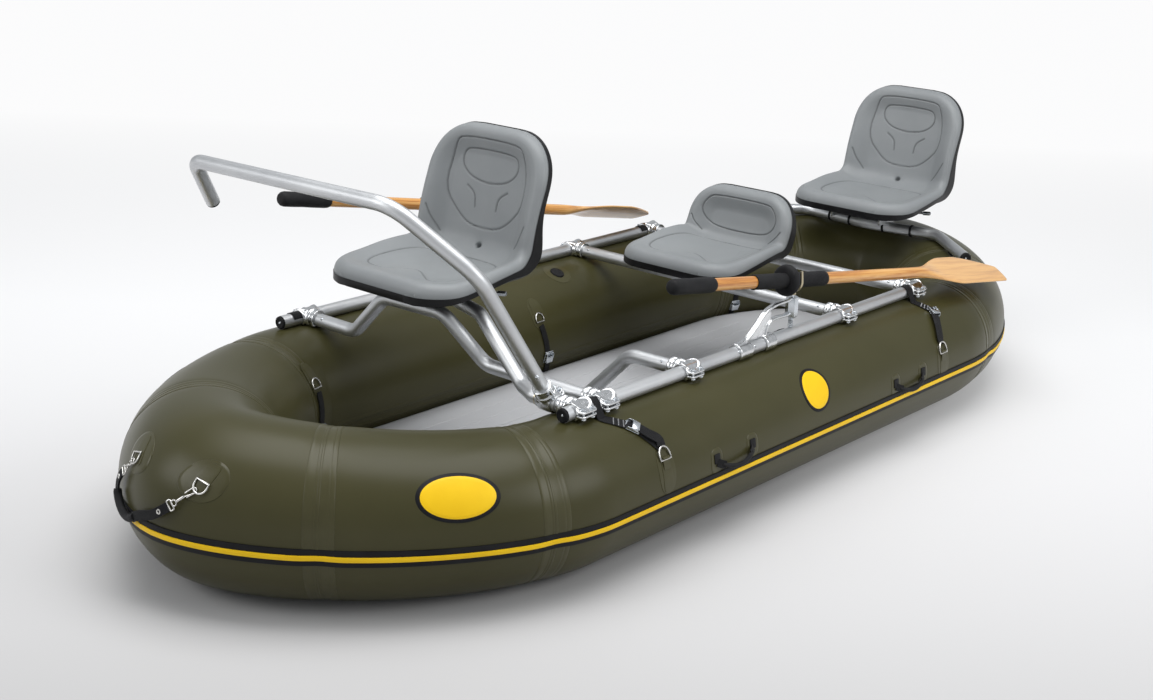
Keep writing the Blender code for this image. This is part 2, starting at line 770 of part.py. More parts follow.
def rear_seat_frame():
    """C of tube, open to the bow, held off the air tube by two rubber pads a side."""
    points = [place + Vector((0, 0, REAR_Z)) for place in rear_route()]
    ends = [(points[0], points[0] - points[1]), (points[-1], points[-1] - points[-2])]
    mesh = plugged(baked(tube_curve(points, PIPE_R)), ends)
    for side in (1, -1):
        spot, along = pad_centre(side)
        centre = Vector((spot.x, spot.y, REAR_Z))
        half = along * PAD_LENGTH / 2
        mesh = join(mesh, rod(centre - half, centre + half, PAD_R, 12), "UNION")
    from_bmesh(mesh, "rear_seat_frame", ALUMINIUM)


# Seats

HIGH_PROFILE_SHARES = ((0.440, 0.074), (0.363, 0.074), (0.192, 0.054), (0.0, 0.039),
                       (-0.192, 0.037), (-0.331, 0.069), (-0.423, 0.173), (-0.462, 0.321),
                       (-0.487, 0.519), (-0.517, 0.741), (-0.547, 0.926), (-0.560, 1.0))
LOW_PROFILE_SHARES = ((0.440, 0.135), (0.363, 0.135), (0.192, 0.099), (0.0, 0.072),
                      (-0.192, 0.068), (-0.331, 0.108), (-0.408, 0.225), (-0.440, 0.400),
                      (-0.462, 0.600), (-0.484, 0.800), (-0.500, 0.930), (-0.505, 1.0))
SEAT_ROWS = 15
SEAT_COLUMNS = 10
FRONT_CORNER_SHARE = 0.20           # of the seat's profile that the front corners take
TOP_CORNER_SHARE = 0.16
CORNER_FLAT_SHARE = 0.06            # of a corner left straight at its end
CORNER_POWER = 2.4
WING_DIP_SHARE = 0.45               # of the side wings lost at the bend of the seat
CUSHION_RIM_SHARE = 0.28            # of the cushion's thickness at its rim


def profile_point(shares, height, part):
    """A point and normal on the side profile, smooth through its shares."""
    spot = part * (len(shares) - 1)
    index = min(int(spot), len(shares) - 2)
    local = spot - index
    around = [shares[max(0, min(len(shares) - 1, index + k))] for k in (-1, 0, 1, 2)]
    scaled = [Vector((a * SEAT_D, 0, b * height)) for a, b in around]
    p0, p1, p2, p3 = scaled
    t2 = local * local
    t3 = t2 * local
    point = 0.5 * (2 * p1 + (p2 - p0) * local + (2 * p0 - 5 * p1 + 4 * p2 - p3) * t2
                   + (3 * p1 - p0 - 3 * p2 + p3) * t3)
    slope = 0.5 * ((p2 - p0) + 2 * (2 * p0 - 5 * p1 + 4 * p2 - p3) * local
                   + 3 * (3 * p1 - p0 - 3 * p2 + p3) * t2)
    along = slope.normalized()
    return point, Vector((along.z, 0, -along.x))


def corner_share(part, span):
    """1 along the middle of a side, falling in a round corner within span of its end."""
    if part >= span:
        return 1.0
    away = 1.0 - (part / span + CORNER_FLAT_SHARE) / (1.0 + CORNER_FLAT_SHARE)
    return (1.0 - away ** CORNER_POWER) ** (1.0 / CORNER_POWER)


def seat_half_width(part, width, top_width):
    blend = max(0.0, (part - 0.5) / 0.5)
    half = (width + (top_width - width) * blend * blend * (3 - 2 * blend)) / 2
    return half * corner_share(part, FRONT_CORNER_SHARE) * corner_share(1.0 - part, TOP_CORNER_SHARE)


def pillow(part, power):
    return (1.0 - abs(part) ** power) ** (1.0 / power)


def seat_sheet(shares, height, width, lift):
    """Surface of the bucket at a distance lift(row, column) along its normal."""
    top_width = SEAT_BACK_TOP_W * width / SEAT_W

    def place(row, column):
        point, normal = profile_point(shares, height, row)
        half = seat_half_width(row, width, top_width)
        across = 2 * column - 1
        dip = WING_DIP_SHARE * math.exp(-((row - 0.5) / 0.15) ** 2)
        rise = SEAT_WING * abs(across) ** 3 * (1.0 - dip)
        return point + Vector((0, across * half, 0)) + normal * (rise + lift(row, across))
    return place


def cushion_lift(row, across):
    crown = pillow(across, 5) * pillow(2 * row - 1, 7)
    return GAP + CUSHION_THICK * (CUSHION_RIM_SHARE + (1.0 - CUSHION_RIM_SHARE) * crown)


def cushion(name, shares, height, width):
    top = seat_sheet(shares, height, width, cushion_lift)
    bottom = seat_sheet(shares, height, width, lambda row, across: GAP)
    return from_bmesh(grid_solid(SEAT_ROWS, SEAT_COLUMNS, top, bottom), name, SEAT_GREY)


def shell(name, shares, height, width):
    """Thin moulded bucket with four feet under the pan."""
    top = seat_sheet(shares, height, width, lambda row, across: 0.0)
    bottom = seat_sheet(shares, height, width, lambda row, across: -SHELL_THICK)
    body = grid_solid(SEAT_ROWS, SEAT_COLUMNS, top, bottom)
    bmesh.ops.recalc_face_normals(body, faces=body.faces)
    for u in (-SEAT_FOOT_SPREAD, SEAT_FOOT_SPREAD):
        height_here = pan_height(shares, height, u)
        for v in (-SEAT_FOOT_SPREAD, SEAT_FOOT_SPREAD):
            foot = rod((u, v, 0), (u, v, height_here - SHELL_THICK / 2), SEAT_FOOT_R, 8)
            body = join(body, foot, "UNION")
    return from_bmesh(body, name, SHELL_BLACK)


def pan_height(shares, height, u):
    """Height of the pan's middle line at a distance ahead of the seat's axis."""
    steps = 400
    spots = [profile_point(shares, height, 0.5 * step / steps)[0] for step in range(steps + 1)]
    return min(spots, key=lambda spot: abs(spot.x - u)).z


def seat_axis(name, x, y, z):
    hub = bpy.data.objects.new(name, None)
    hub.location = (x, y, z)
    PARTS.objects.link(hub)
    return hub


def copy_of(obj, name):
    twin = bpy.data.objects.new(name, obj.data)
    PARTS.objects.link(twin)
    return twin


def swivel(prefix, x, y, z, hub):
    """Round fixed plate with a hub and a square plate that turns on it."""
    base = rod((x, y, z), (x, y, z + PLATE_THICK), SWIVEL_R, 24)
    pin = rod((x, y, z + PLATE_THICK / 2), (x, y, z + 2 * PLATE_THICK), SWIVEL_HUB_R, 16)
    from_bmesh(join(base, pin, "UNION"), prefix + "_swivel_base", CAST)
    side = SWIVEL_PLATE
    top = block((side, side, PLATE_THICK), (0, 0, -GAP - PLATE_THICK / 2))
    hole = rod((0, 0, -2 * PLATE_THICK), (0, 0, PLATE_THICK), SWIVEL_HUB_R + 2 * GAP, 16)
    plate = from_bmesh(join(top, hole, "DIFFERENCE"), prefix + "_swivel_top", CAST)
    plate.parent = hub


def lever(prefix, hub, side):
    """Lock lever: a bent rod with a knob, pinned to the swivel's top plate."""
    lean = Vector((-LEVER_LENGTH / 3, side * LEVER_LENGTH, LEVER_R * 2))
    clear = LEVER_R * abs(lean.normalized().x) + 2 * GAP
    root = Vector((-SWIVEL_PLATE / 4, side * (SWIVEL_PLATE / 2 + clear), -PLATE_THICK))
    tip = root + lean
    bar = rod(root, tip, LEVER_R, 8)
    along = (tip - root).normalized()
    knob = rod(tip - along * LEVER_KNOB_R * 4, tip, LEVER_KNOB_R, 10)
    item = from_bmesh(join(bar, knob, "UNION"), prefix + "_swivel_lever", STEEL)
    item.parent = hub
    return root


SWIVEL_STACK = 2 * PLATE_THICK + 2 * GAP


def front_seat():
    plate_z = SEAT_PIPE_Z + PIPE_R + GAP
    plate = block((*FRONT_PLATE, PLATE_THICK), (FRONT_SEAT_X, FRONT_SEAT_Y, plate_z + PLATE_THICK / 2))
    from_bmesh(plate, "front_seat_plate", ALUMINIUM)
    base_z = plate_z + PLATE_THICK + GAP
    hub = seat_axis("front_seat_axis", FRONT_SEAT_X, FRONT_SEAT_Y, base_z + SWIVEL_STACK)
    swivel("front", FRONT_SEAT_X, FRONT_SEAT_Y, base_z, hub)
    body = shell("front_seat_shell", HIGH_PROFILE_SHARES, HIGH_SEAT_H, SEAT_W)
    pad = cushion("front_seat_cushion", HIGH_PROFILE_SHARES, HIGH_SEAT_H, SEAT_W)
    body.parent = hub
    pad.parent = hub
    lever("front", hub, 1)
    return body, pad


def rear_seat(body, pad):
    length, width, height = REAR_BRACKET
    foot_z = REAR_Z + PIPE_R + GAP
    top_z = foot_z + height
    plate = block((length, width, PLATE_THICK), (REAR_SEAT_X, REAR_SEAT_Y, top_z - PLATE_THICK / 2))
    for side in (1, -1):
        rib = block((length, PLATE_THICK, height),
                    (REAR_SEAT_X, REAR_SEAT_Y + side * (width - PLATE_THICK) / 2, foot_z + height / 2))
        plate = join(plate, rib, "UNION")
    from_bmesh(plate, "rear_seat_bracket", ALUMINIUM)
    base_z = top_z + GAP
    hub = seat_axis("rear_seat_axis", REAR_SEAT_X, REAR_SEAT_Y, base_z + SWIVEL_STACK)
    swivel("rear", REAR_SEAT_X, REAR_SEAT_Y, base_z, hub)
    copy_of(body, "rear_seat_shell").parent = hub
    copy_of(pad, "rear_seat_cushion").parent = hub
    lever("rear", hub, 1)


def rower_seat():
    length, width = ROWER_BAR
    bar_z = RAIL_Z + PIPE_R + GAP
    bar = block((length, width, PLATE_THICK), (ROWER_BAR_X, ROWER_SEAT_Y, bar_z + PLATE_THICK / 2))
    from_bmesh(bar, "rower_seat_plate", ALUMINIUM)
    hub = seat_axis("rower_seat_place", ROWER_SEAT_X, ROWER_SEAT_Y, bar_z + PLATE_THICK + GAP)
    shell("rower_seat_shell", LOW_PROFILE_SHARES, LOW_SEAT_H, LOW_SEAT_W).parent = hub
    cushion("rower_seat_cushion", LOW_PROFILE_SHARES, LOW_SEAT_H, LOW_SEAT_W).parent = hub


# Oars

BLADE_WIDE_SHARE = 0.45             # of the blade's length at which it has its full width
BLADE_THIN_SHARE = 0.30             # and at which it is as thin as it gets
BLADE_TIP_SHARE = 0.86              # and at which its tip begins to round off
BLADE_SHARES = (0.08, 0.16, 0.24, 0.32, 0.40, 0.50, 0.68, 0.86, 0.93, 0.98, 1.0)


def oar_radius_at(along):
    """Half width and half thickness of the wood, from the grip's end towards the tip."""
    blade = along - (OAR_LENGTH - BLADE_LENGTH)
    if blade <= 0:
        return OAR_R, OAR_R
    part = blade / BLADE_LENGTH
    ease = min(1.0, part / BLADE_WIDE_SHARE)
    ease = ease * ease * (3 - 2 * ease)
    width = OAR_R + (BLADE_WIDTH / 2 - OAR_R) * ease
    if part > BLADE_TIP_SHARE:
        rounding = 1.1 * (1.0 - BLADE_TIP_SHARE)
        width *= math.sqrt(max(0.0, 1.0 - ((part - BLADE_TIP_SHARE) / rounding) ** 2))
    thin = min(1.0, part / BLADE_THIN_SHARE)
    return width, OAR_R + (BLADE_THICK / 2 - OAR_R) * thin


def oar_wood(name, inboard, side, sides=12):
    """Loft from the round shaft to the flat blade, in the lock's frame, blade to -X."""
    blade_root = OAR_LENGTH - BLADE_LENGTH
    stations = [GRIP_LENGTH / 2, blade_root / 2, blade_root]
    stations += [blade_root + BLADE_LENGTH * share for share in BLADE_SHARES]
    mesh = bmesh.new()
    rings = []
    for along in stations:
        wide, thick = oar_radius_at(along)
        loop = []
        for step in range(sides):
            angle = 2 * math.pi * step / sides
            loop.append(mesh.verts.new((inboard - along, wide * math.cos(angle), thick * math.sin(angle))))
        rings.append(loop)
    for first, second in zip(rings, rings[1:]):
        for step in range(sides):
            beyond = (step + 1) % sides
            mesh.faces.new((first[step], first[beyond], second[beyond], second[step]))
    mesh.faces.new(rings[0][::-1])
    mesh.faces.new(rings[-1])
    bmesh.ops.transform(mesh, matrix=Matrix.Rotation(-side * BLADE_ROLL, 4, "X"), verts=mesh.verts)
    return from_bmesh(mesh, name, WOOD)


def oar_grip(name, inboard):
    """Moulded grip: closed at the end of the oar, bored for the shaft."""
    mesh = rod((inboard - GRIP_LENGTH, 0, 0), (inboard, 0, 0), GRIP_R, 12)
    bore = rod((inboard - GRIP_LENGTH - OVERRUN, 0, 0), (inboard - GRIP_LENGTH / 2 + GAP, 0, 0),
               bore_for(OAR_R, 12), 12)
    return from_bmesh(join(mesh, bore, "DIFFERENCE"), name, BLACK)


def oar_sleeve(name, collar):
    """Sleeve with the collar that stops the oar at its lock, bored for the shaft."""
    half = SLEEVE_LENGTH / 2
    mesh = rod((collar - half, 0, 0), (collar + half, 0, 0), SLEEVE_R, 16)
    disc = rod((collar, 0, 0), (collar + COLLAR_LENGTH, 0, 0), COLLAR_R, 16)
    mesh = join(mesh, disc, "UNION")
    bore = rod((collar - half - OVERRUN, 0, 0), (collar + half + OVERRUN, 0, 0), bore_for(OAR_R, 12), 12)
    return from_bmesh(join(mesh, bore, "DIFFERENCE"), name, BLACK)


def oar_set(prefix, side, z, pitch, yaw, inboard, collar):
    """Lock with its pin, and the oar lying in it: on its sleeve, or lower on its bare shaft."""
    bare = collar > SLEEVE_LENGTH / 2
    drop = SLEEVE_R - OAR_R if bare else 0.0
    swing = Matrix.Translation((LOCK_X, side * RAIL_Y, z)) @ Matrix.Rotation(-yaw * side, 4, "Z")
    lock_axis = bpy.data.objects.new(prefix + "_lock_axis", None)
    lock_axis.matrix_world = swing
    PARTS.objects.link(lock_axis)
    oar_axis = bpy.data.objects.new(prefix + "_oar_axis", None)
    oar_axis.parent = lock_axis
    oar_axis.matrix_local = Matrix.Translation((0, 0, -drop)) @ Matrix.Rotation(-pitch, 4, "Y")
    PARTS.objects.link(oar_axis)
    bend = SLEEVE_R + LOCK_CLEAR + LOCK_WIRE_R
    path = [(0, -bend * 0.9, LOCK_HORN)]
    for step in range(9):
        angle = math.pi + math.pi * step / 8
        path.append((0, bend * math.cos(angle), bend * math.sin(angle)))
    path.append((0, bend * 0.9, LOCK_HORN))
    horns = baked(tube_curve(path, LOCK_WIRE_R, 2, twist="MINIMUM"))
    pin = rod((0, 0, -bend), (0, 0, SOCKET_BOTTOM - z + GAP), LOCK_PIN_R, 12)
    lock = from_bmesh(join(horns, pin, "UNION"), prefix + "_oarlock", CAST)
    lock.parent = lock_axis
    oar_wood(prefix + "_oar", inboard, side).parent = oar_axis
    oar_grip(prefix + "_oar_grip", inboard).parent = oar_axis
    oar_sleeve(prefix + "_oar_sleeve", collar).parent = oar_axis


# Side view of the wing brace: share of its reach ahead of the socket, and of its height over the rail
STAND_OUTLINE_SHARES = (
    (1.123, 0.011), (1.115, 0.089), (0.877, 0.155), (0.693, 0.577), (0.549, 0.778), (0.324, 1.0),
    (0.066, 1.0), (0.066, 0.493), (0.262, 0.471), (0.385, 0.604), (0.508, 0.333), (0.529, 0.011))


def arm_top():
    """Top of the brace's arm, which clears the port oar's collar when that oar is tilted."""
    pitch = PORT_OAR_PITCH - OAR_TILT
    corner = (PORT_COLLAR + COLLAR_LENGTH) * math.sin(pitch) - COLLAR_R * math.cos(pitch)
    return PORT_OAR_Z + corner - COLLAR_CLEAR


def stand_outline():
    """The wing brace as (x, z): foot on the rail, S arm, clamp web."""
    rail_top = RAIL_Z + PIPE_R
    height = arm_top() - rail_top
    return [(LOCK_X + STAND_REACH * along, rail_top + height * up) for along, up in STAND_OUTLINE_SHARES]


def flat_plate(outline, thick):
    """Plate cut to an outline in X and Z, centred on the plane Y = 0."""
    data = bpy.data.curves.new("plate", "CURVE")
    data.dimensions = "2D"
    data.fill_mode = "BOTH"
    data.extrude = thick / 2
    spline = data.splines.new("POLY")
    spline.points.add(len(outline) - 1)
    spline.use_cyclic_u = True
    for target, (x, z) in zip(spline.points, outline):
        target.co = (x, z, 0, 1)
    obj = bpy.data.objects.new("plate", data)
    PARTS.objects.link(obj)
    mesh = baked(obj)
    bmesh.ops.transform(mesh, matrix=Matrix.Rotation(math.pi / 2, 4, "X"), verts=mesh.verts)
    return mesh


def oarlock_stands():
    """Cast brace on each rail that carries the upright socket of an oarlock."""
    boss_low = (LOCK_X, 0, SOCKET_BOTTOM)
    boss_high = (LOCK_X, 0, SOCKET_TOP)
    body = flat_plate(stand_outline(), STAND_PLATE)
    body = join(body, rod(boss_low, boss_high, SOCKET_R + TEE_WALL, 16), "UNION")
    for ahead, length in (FOOT_SADDLE, WEB_SADDLE):
        x = LOCK_X + ahead
        saddle = rod((x - length / 2, 0, RAIL_Z), (x + length / 2, 0, RAIL_Z), PIPE_R + TEE_WALL, 20)
        body = join(body, saddle, "UNION")
    bore = rod((LOCK_X - RAIL_Y, 0, RAIL_Z), (RAIL_Y, 0, RAIL_Z), bore_for(PIPE_R, 20), 20)
    body = join(body, bore, "DIFFERENCE")
    under = block((2 * RAIL_Y, 4 * PIPE_R, 2 * PIPE_R), (0, 0, RAIL_Z - 1.8 * PIPE_R))
    body = join(body, under, "DIFFERENCE")
    bore = rod((LOCK_X, 0, SOCKET_BOTTOM - OVERRUN), (LOCK_X, 0, SOCKET_TOP + OVERRUN),
               LOCK_PIN_R + 2 * GAP, 12)
    body = join(body, bore, "DIFFERENCE")
    for name, side in (("port_oarlock_stand", 1), ("starboard_oarlock_stand", -1)):
        from_bmesh(moved(body, Matrix.Translation((0, side * RAIL_Y, 0))), name, CAST)
    body.free()


# Straps and handles

def handles():
    for place, (x, degrees) in (("front", FRONT_HANDLE), ("rear", REAR_HANDLE)):
        for name, side in (("port", 1), ("starboard", -1)):
            mesh = side_handle(x, side, math.radians(degrees))
            from_bmesh(mesh, place + "_" + name + "_handle", WEBBING)


def side_handle(x, side, angle):
    """Bowed webbing loop whose ends lie on their patches."""
    points = []
    steps = 8
    for step in range(steps + 1):
        part = step / steps
        rise = HANDLE_RISE * math.sin(math.pi * part) ** 0.8
        station = x + HANDLE_LENGTH * (part - 0.5)
        drop = rise * 0.6
        lift = WEB / 2 + 2 * GAP + rise * 0.5
        points.append(on_tube(station, side, angle - drop / TUBE_R, lift))
    up = on_tube(x, side, angle + 0.1) - on_tube(x, side, angle - 0.1)
    return strip(points, up, STRAP_WIDTH, WEB)


def frame_strap(rail_x, buckle, ring_place, side):
    """Webbing over the rail, down to its buckle and on to the place of its D-ring."""
    buckle_x, buckle_deg = buckle
    ring_x, ring_deg = ring_place
    wrap = PIPE_R + WEB / 2 + 2 * GAP
    points = []
    for degrees in STRAP_WRAP:
        turn = math.radians(degrees)
        points.append(Vector((rail_x, side * (RAIL_Y + wrap * math.cos(turn)),
                              RAIL_Z + wrap * math.sin(turn))))
    end_deg = ring_deg + math.degrees(RING_DEPTH / 2 / TUBE_R) + 3.0
    for step in range(STRAP_STEPS + 1):
        degrees = STRAP_LANDING + (end_deg - STRAP_LANDING) * step / STRAP_STEPS
        if degrees > buckle_deg:
            across = (STRAP_LANDING - degrees) / (STRAP_LANDING - buckle_deg)
            station = rail_x + (buckle_x - rail_x) * across
        else:
            across = (buckle_deg - degrees) / (buckle_deg - end_deg)
            station = buckle_x + (ring_x - buckle_x) * across
        points.append(on_tube(station, side, math.radians(degrees), WEB / 2 + 4 * GAP))
    return strip(points, (1, 0, 0), STRAP_WIDTH, WEB)


def cam_buckle(x, degrees, side):
    """Cam buckle body astride the strap: a base with two cheeks."""
    centre, out, radius = outward_at(x, side)
    angle = math.radians(degrees)
    normal = out * math.cos(angle) + Vector((0, 0, math.sin(angle)))
    along = Vector((1, 0, 0))
    down = normal.cross(along).normalized()
    turn = Matrix((along, down, normal)).transposed().to_4x4()
    place = on_tube(x, side, angle, WEB / 2 + 4 * GAP + BUCKLE[2] / 2)
    return block(BUCKLE, place, turn)


def nose_point(y, degrees, lift):
    """A point off the skin at the bow, where the centreline has this offset to port."""
    part = (1.0 - (abs(y) / HALF_BEAM) ** BOW_POWER) ** (1.0 / BOW_POWER)
    side = 1 if y > 0 else -1
    return on_tube(BOW_START + BOW_REACH * part, side, math.radians(degrees), lift)


def bow_handle():
    """Carrying handle: a round grip on webbing, hung from two places on the nose."""
    thin = HANDLE_END_R + 2 * GAP
    fat = HANDLE_GRIP_R + STRAKE_THICK + 5 * GAP
    between = (thin + fat) / 2
    shares = [(0.122, 30.6, thin), (0.090, 24.0, between), (0.030, 11.0, fat), (-0.020, 1.0, fat),
              (-0.060, -4.0, fat), (-0.105, -3.0, fat), (-0.145, 4.0, fat), (-0.150, 13.0, fat),
              (-0.125, 24.0, between), (-0.107, 31.0, thin)]
    ends = [HANDLE_END_R / HANDLE_GRIP_R] * 2
    factors = ends + [0.6, 1, 1, 1, 1, 0.6] + ends
    points = [nose_point(HALF_BEAM * share, degrees, lift) for share, degrees, lift in shares]
    curve = tube_curve(points, HANDLE_GRIP_R, 2, factors)
    keep(curve, "bow_handle", WEBBING)


def straps():
    """Four straps that hold the frame down, beside the tees they pass."""
    beside = (TEE_LENGTH + STRAP_WIDTH) / 2 + OVERRUN
    rail_xs = {("front", "port"): (CROSSTUBE_NEAR_X + BRACE_X) / 2,
               ("front", "starboard"): CROSSTUBE_FAR_X + beside,
               ("rear", "port"): RAIL_BACK + beside,
               ("rear", "starboard"): RAIL_BACK + beside}
    for (place, name), rail_x in rail_xs.items():
        side = 1 if name == "port" else -1
        buckle, ring_place = (FRONT_BUCKLE, FRONT_RING) if place == "front" else (REAR_BUCKLE, REAR_RING)
        web = frame_strap(rail_x, buckle, ring_place, side)
        mesh = join(web, cam_buckle(*buckle, side), "UNION")
        from_bmesh(mesh, place + "_" + name + "_strap", WEBBING)


def build():
    air_cells()
    rub_strake()
    floor_panel()
    rails()
    crossbars()
    tees()
    seat_crosstube()
    seat_strut()
    brace_coupler()
    casting_brace()
    foot_brace()
    rear_seat_frame()
    body, pad = front_seat()
    rear_seat(body, pad)
    rower_seat()
    oarlock_stands()
    oar_set("port", 1, PORT_OAR_Z, PORT_OAR_PITCH, PORT_OAR_YAW, PORT_OAR_INBOARD, PORT_COLLAR)
    oar_set("starboard", -1, STAR_OAR_Z, STAR_OAR_PITCH, 0.0, STAR_OAR_INBOARD, STAR_COLLAR)
    handles()
    bow_handle()
    straps()


build()
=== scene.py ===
# %% [markdown]
# A fishing raft: four air cells under one olive skin, a floor, a clamped
# aluminium tube frame, three seats, two wooden oars and a casting brace.
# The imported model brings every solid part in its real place. This notebook
# dresses it: each cell makes one kind of piece, in metres, in that frame.

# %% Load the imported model
import math
from math import cos, pi, radians, sin

import bmesh
import bpy
import numpy as np
from mathutils import Matrix, Vector


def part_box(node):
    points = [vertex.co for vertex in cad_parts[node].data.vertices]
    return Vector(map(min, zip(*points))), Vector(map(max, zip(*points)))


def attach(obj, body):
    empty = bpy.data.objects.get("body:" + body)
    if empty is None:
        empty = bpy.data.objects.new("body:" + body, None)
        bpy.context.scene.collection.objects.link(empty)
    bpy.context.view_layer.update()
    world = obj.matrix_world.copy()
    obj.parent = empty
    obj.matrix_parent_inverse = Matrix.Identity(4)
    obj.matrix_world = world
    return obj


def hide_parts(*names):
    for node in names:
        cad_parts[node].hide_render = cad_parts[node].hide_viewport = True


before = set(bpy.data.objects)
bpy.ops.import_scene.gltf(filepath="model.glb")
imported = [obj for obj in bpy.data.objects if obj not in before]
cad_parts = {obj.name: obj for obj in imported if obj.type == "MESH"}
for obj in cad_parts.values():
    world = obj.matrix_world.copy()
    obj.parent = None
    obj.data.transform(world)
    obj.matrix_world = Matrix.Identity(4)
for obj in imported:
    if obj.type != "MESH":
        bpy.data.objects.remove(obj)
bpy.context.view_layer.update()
scene = bpy.context.scene
moved = Matrix.Translation


def spun(angle, axis):
    return Matrix.Rotation(angle, 4, axis)

# %% [markdown]
# The camera stands off the port bow, 1.8 m above the ground. Its place was
# solved from the raft's own edges, so the lens and the slight roll are part
# of the likeness.

# %% Camera
PHOTO_WIDTH = 1153
FOCAL_PIXELS = 1684.1
YAW = radians(-139.82)
PITCH = radians(17.74)
ROLL = radians(2.017)
CAMERA_SPOT = (3.827, 3.028, 1.798)


def photo_camera():
    ahead = Vector((cos(YAW) * cos(PITCH), sin(YAW) * cos(PITCH), -sin(PITCH)))
    right = Vector((sin(YAW), -cos(YAW), 0))
    up = right.cross(ahead)
    right_rolled = right * cos(ROLL) + up * sin(ROLL)
    up_rolled = up * cos(ROLL) - right * sin(ROLL)
    data = bpy.data.cameras.new("camera")
    data.sensor_width = 36
    data.lens = FOCAL_PIXELS / PHOTO_WIDTH * data.sensor_width
    camera = bpy.data.objects.new("camera", data)
    turn = Matrix((right_rolled, up_rolled, -ahead)).transposed().to_4x4()
    camera.matrix_world = moved(CAMERA_SPOT) @ turn
    scene.collection.objects.link(camera)
    scene.camera = camera
    print("lens", round(data.lens, 2), "mm")


photo_camera()

# %% [markdown]
# Materials are node trees. A few effects are shared by many finishes, so
# each is a node group with named sockets: cloud-like mottling, the fine
# grain of a coated skin, the over-and-under of webbing and wood's grain.

# %% Node helpers
def new_group(name, inputs, outputs, kind="Shader"):
    """A node group with named sockets; returns the tree and its two ends."""
    tree = bpy.data.node_groups.new(name, kind + "NodeTree")
    for label, holds, value in inputs:
        socket = tree.interface.new_socket(label, in_out="INPUT", socket_type="NodeSocket" + holds)
        if value is not None:
            socket.default_value = value
    for label, holds in outputs:
        tree.interface.new_socket(label, in_out="OUTPUT", socket_type="NodeSocket" + holds)
    return tree, tree.nodes.new("NodeGroupInput"), tree.nodes.new("NodeGroupOutput")


def new_material(name, **levels):
    """A material with levels set on its shader's own sockets; returns it, its tree and its shader."""
    mat = bpy.data.materials.new(name)
    mat.use_nodes = True
    shader = mat.node_tree.nodes["Principled BSDF"]
    for key, value in levels.items():
        shader.inputs[key.replace("_", " ")].default_value = value
    return mat, mat.node_tree, shader


def add_node(tree, kind, **values):
    """A node with its sockets or properties set by name."""
    node = tree.nodes.new(kind)
    for key, value in values.items():
        label = key.replace("_", " ")
        if hasattr(node, key):
            setattr(node, key, value)
        elif label in node.inputs:
            node.inputs[label].default_value = value
        else:
            node.inputs[int(key.strip("i"))].default_value = value
    return node


def wire(tree, *links):
    """Links, each given as (node, its output, node, its input)."""
    for source, out, target, into in links:
        tree.links.new(source.outputs[out], target.inputs[into])


def ramp_stops(node, *stops):
    """Sets a colour ramp's stops, given as (place, level)."""
    elements = node.color_ramp.elements
    while len(elements) < len(stops):
        elements.new(0.5)
    for element, (place, level) in zip(elements, stops):
        element.position = place
        element.color = (level, level, level, 1.0) if isinstance(level, (int, float)) else (*level, 1.0)

# %% [markdown]
# Coated cloth, castings and moulded plastic all vary a little in tone and
# in gloss. An image would fix the scale of that change; noise in the
# piece's own space keeps it sharp at any distance, so these effects are
# node groups. Webbing is two crossed waves on the strip's map.

# %% Shared effects
def mottle_group():
    """Slow cloudy change between two colours, and a fine height."""
    tree, start, end = new_group(
        "mottle", [("Vector", "Vector", None), ("Scale", "Float", 4.0),
                   ("Fine Scale", "Float", 400.0),
                   ("Dark", "Color", (0, 0, 0, 1)), ("Light", "Color", (1, 1, 1, 1))],
        [("Color", "Color"), ("Height", "Float"), ("Cloud", "Float")])
    cloud = add_node(tree, "ShaderNodeTexNoise", Detail=4.0, Roughness=0.6)
    fine = add_node(tree, "ShaderNodeTexNoise", Detail=3.0, Roughness=0.7)
    spread = add_node(tree, "ShaderNodeValToRGB")
    ramp_stops(spread, (0.32, 0.0), (0.68, 1.0))
    blend = add_node(tree, "ShaderNodeMix", data_type="RGBA")
    wire(tree, (start, "Vector", cloud, "Vector"), (start, "Scale", cloud, "Scale"),
         (start, "Vector", fine, "Vector"), (start, "Fine Scale", fine, "Scale"), (cloud, "Fac", spread, "Fac"),
         (spread, "Color", blend, 0), (start, "Dark", blend, 6), (start, "Light", blend, 7), (blend, 2, end, "Color"),
         (fine, "Fac", end, "Height"), (cloud, "Fac", end, "Cloud"))
    return tree


def weave_group():
    """Over-and-under threads from two crossed waves on a surface's own map."""
    tree, start, end = new_group(
        "weave", [("Vector", "Vector", None), ("Threads", "Float", 500.0)],
        [("Height", "Float"), ("Shade", "Float")])
    first = add_node(tree, "ShaderNodeTexWave", Distortion=0.4, bands_direction="X")
    second = add_node(tree, "ShaderNodeTexWave", Distortion=0.4, bands_direction="Y")
    over = add_node(tree, "ShaderNodeMath", operation="MAXIMUM")
    shade = add_node(tree, "ShaderNodeMapRange", i1=0.2, i2=1.0, i3=0.55, i4=1.0)
    wire(tree, (start, "Vector", first, "Vector"), (start, "Vector", second, "Vector"),
         (start, "Threads", first, "Scale"), (start, "Threads", second, "Scale"), (first, "Fac", over, 0),
         (second, "Fac", over, 1), (over, 0, end, "Height"), (over, 0, shade, 0), (shade, 0, end, "Shade"))
    return tree


MOTTLE = mottle_group()
WEAVE = weave_group()
print("effects:", MOTTLE.name, WEAVE.name)

# %% [markdown]
# Each finish of the raft is one material: olive coated cloth, satin tube,
# tumbled castings, zinc, vinyl, rubber. They share one recipe, two close
# colours, a fine bump and a range of gloss, and differ in its numbers.

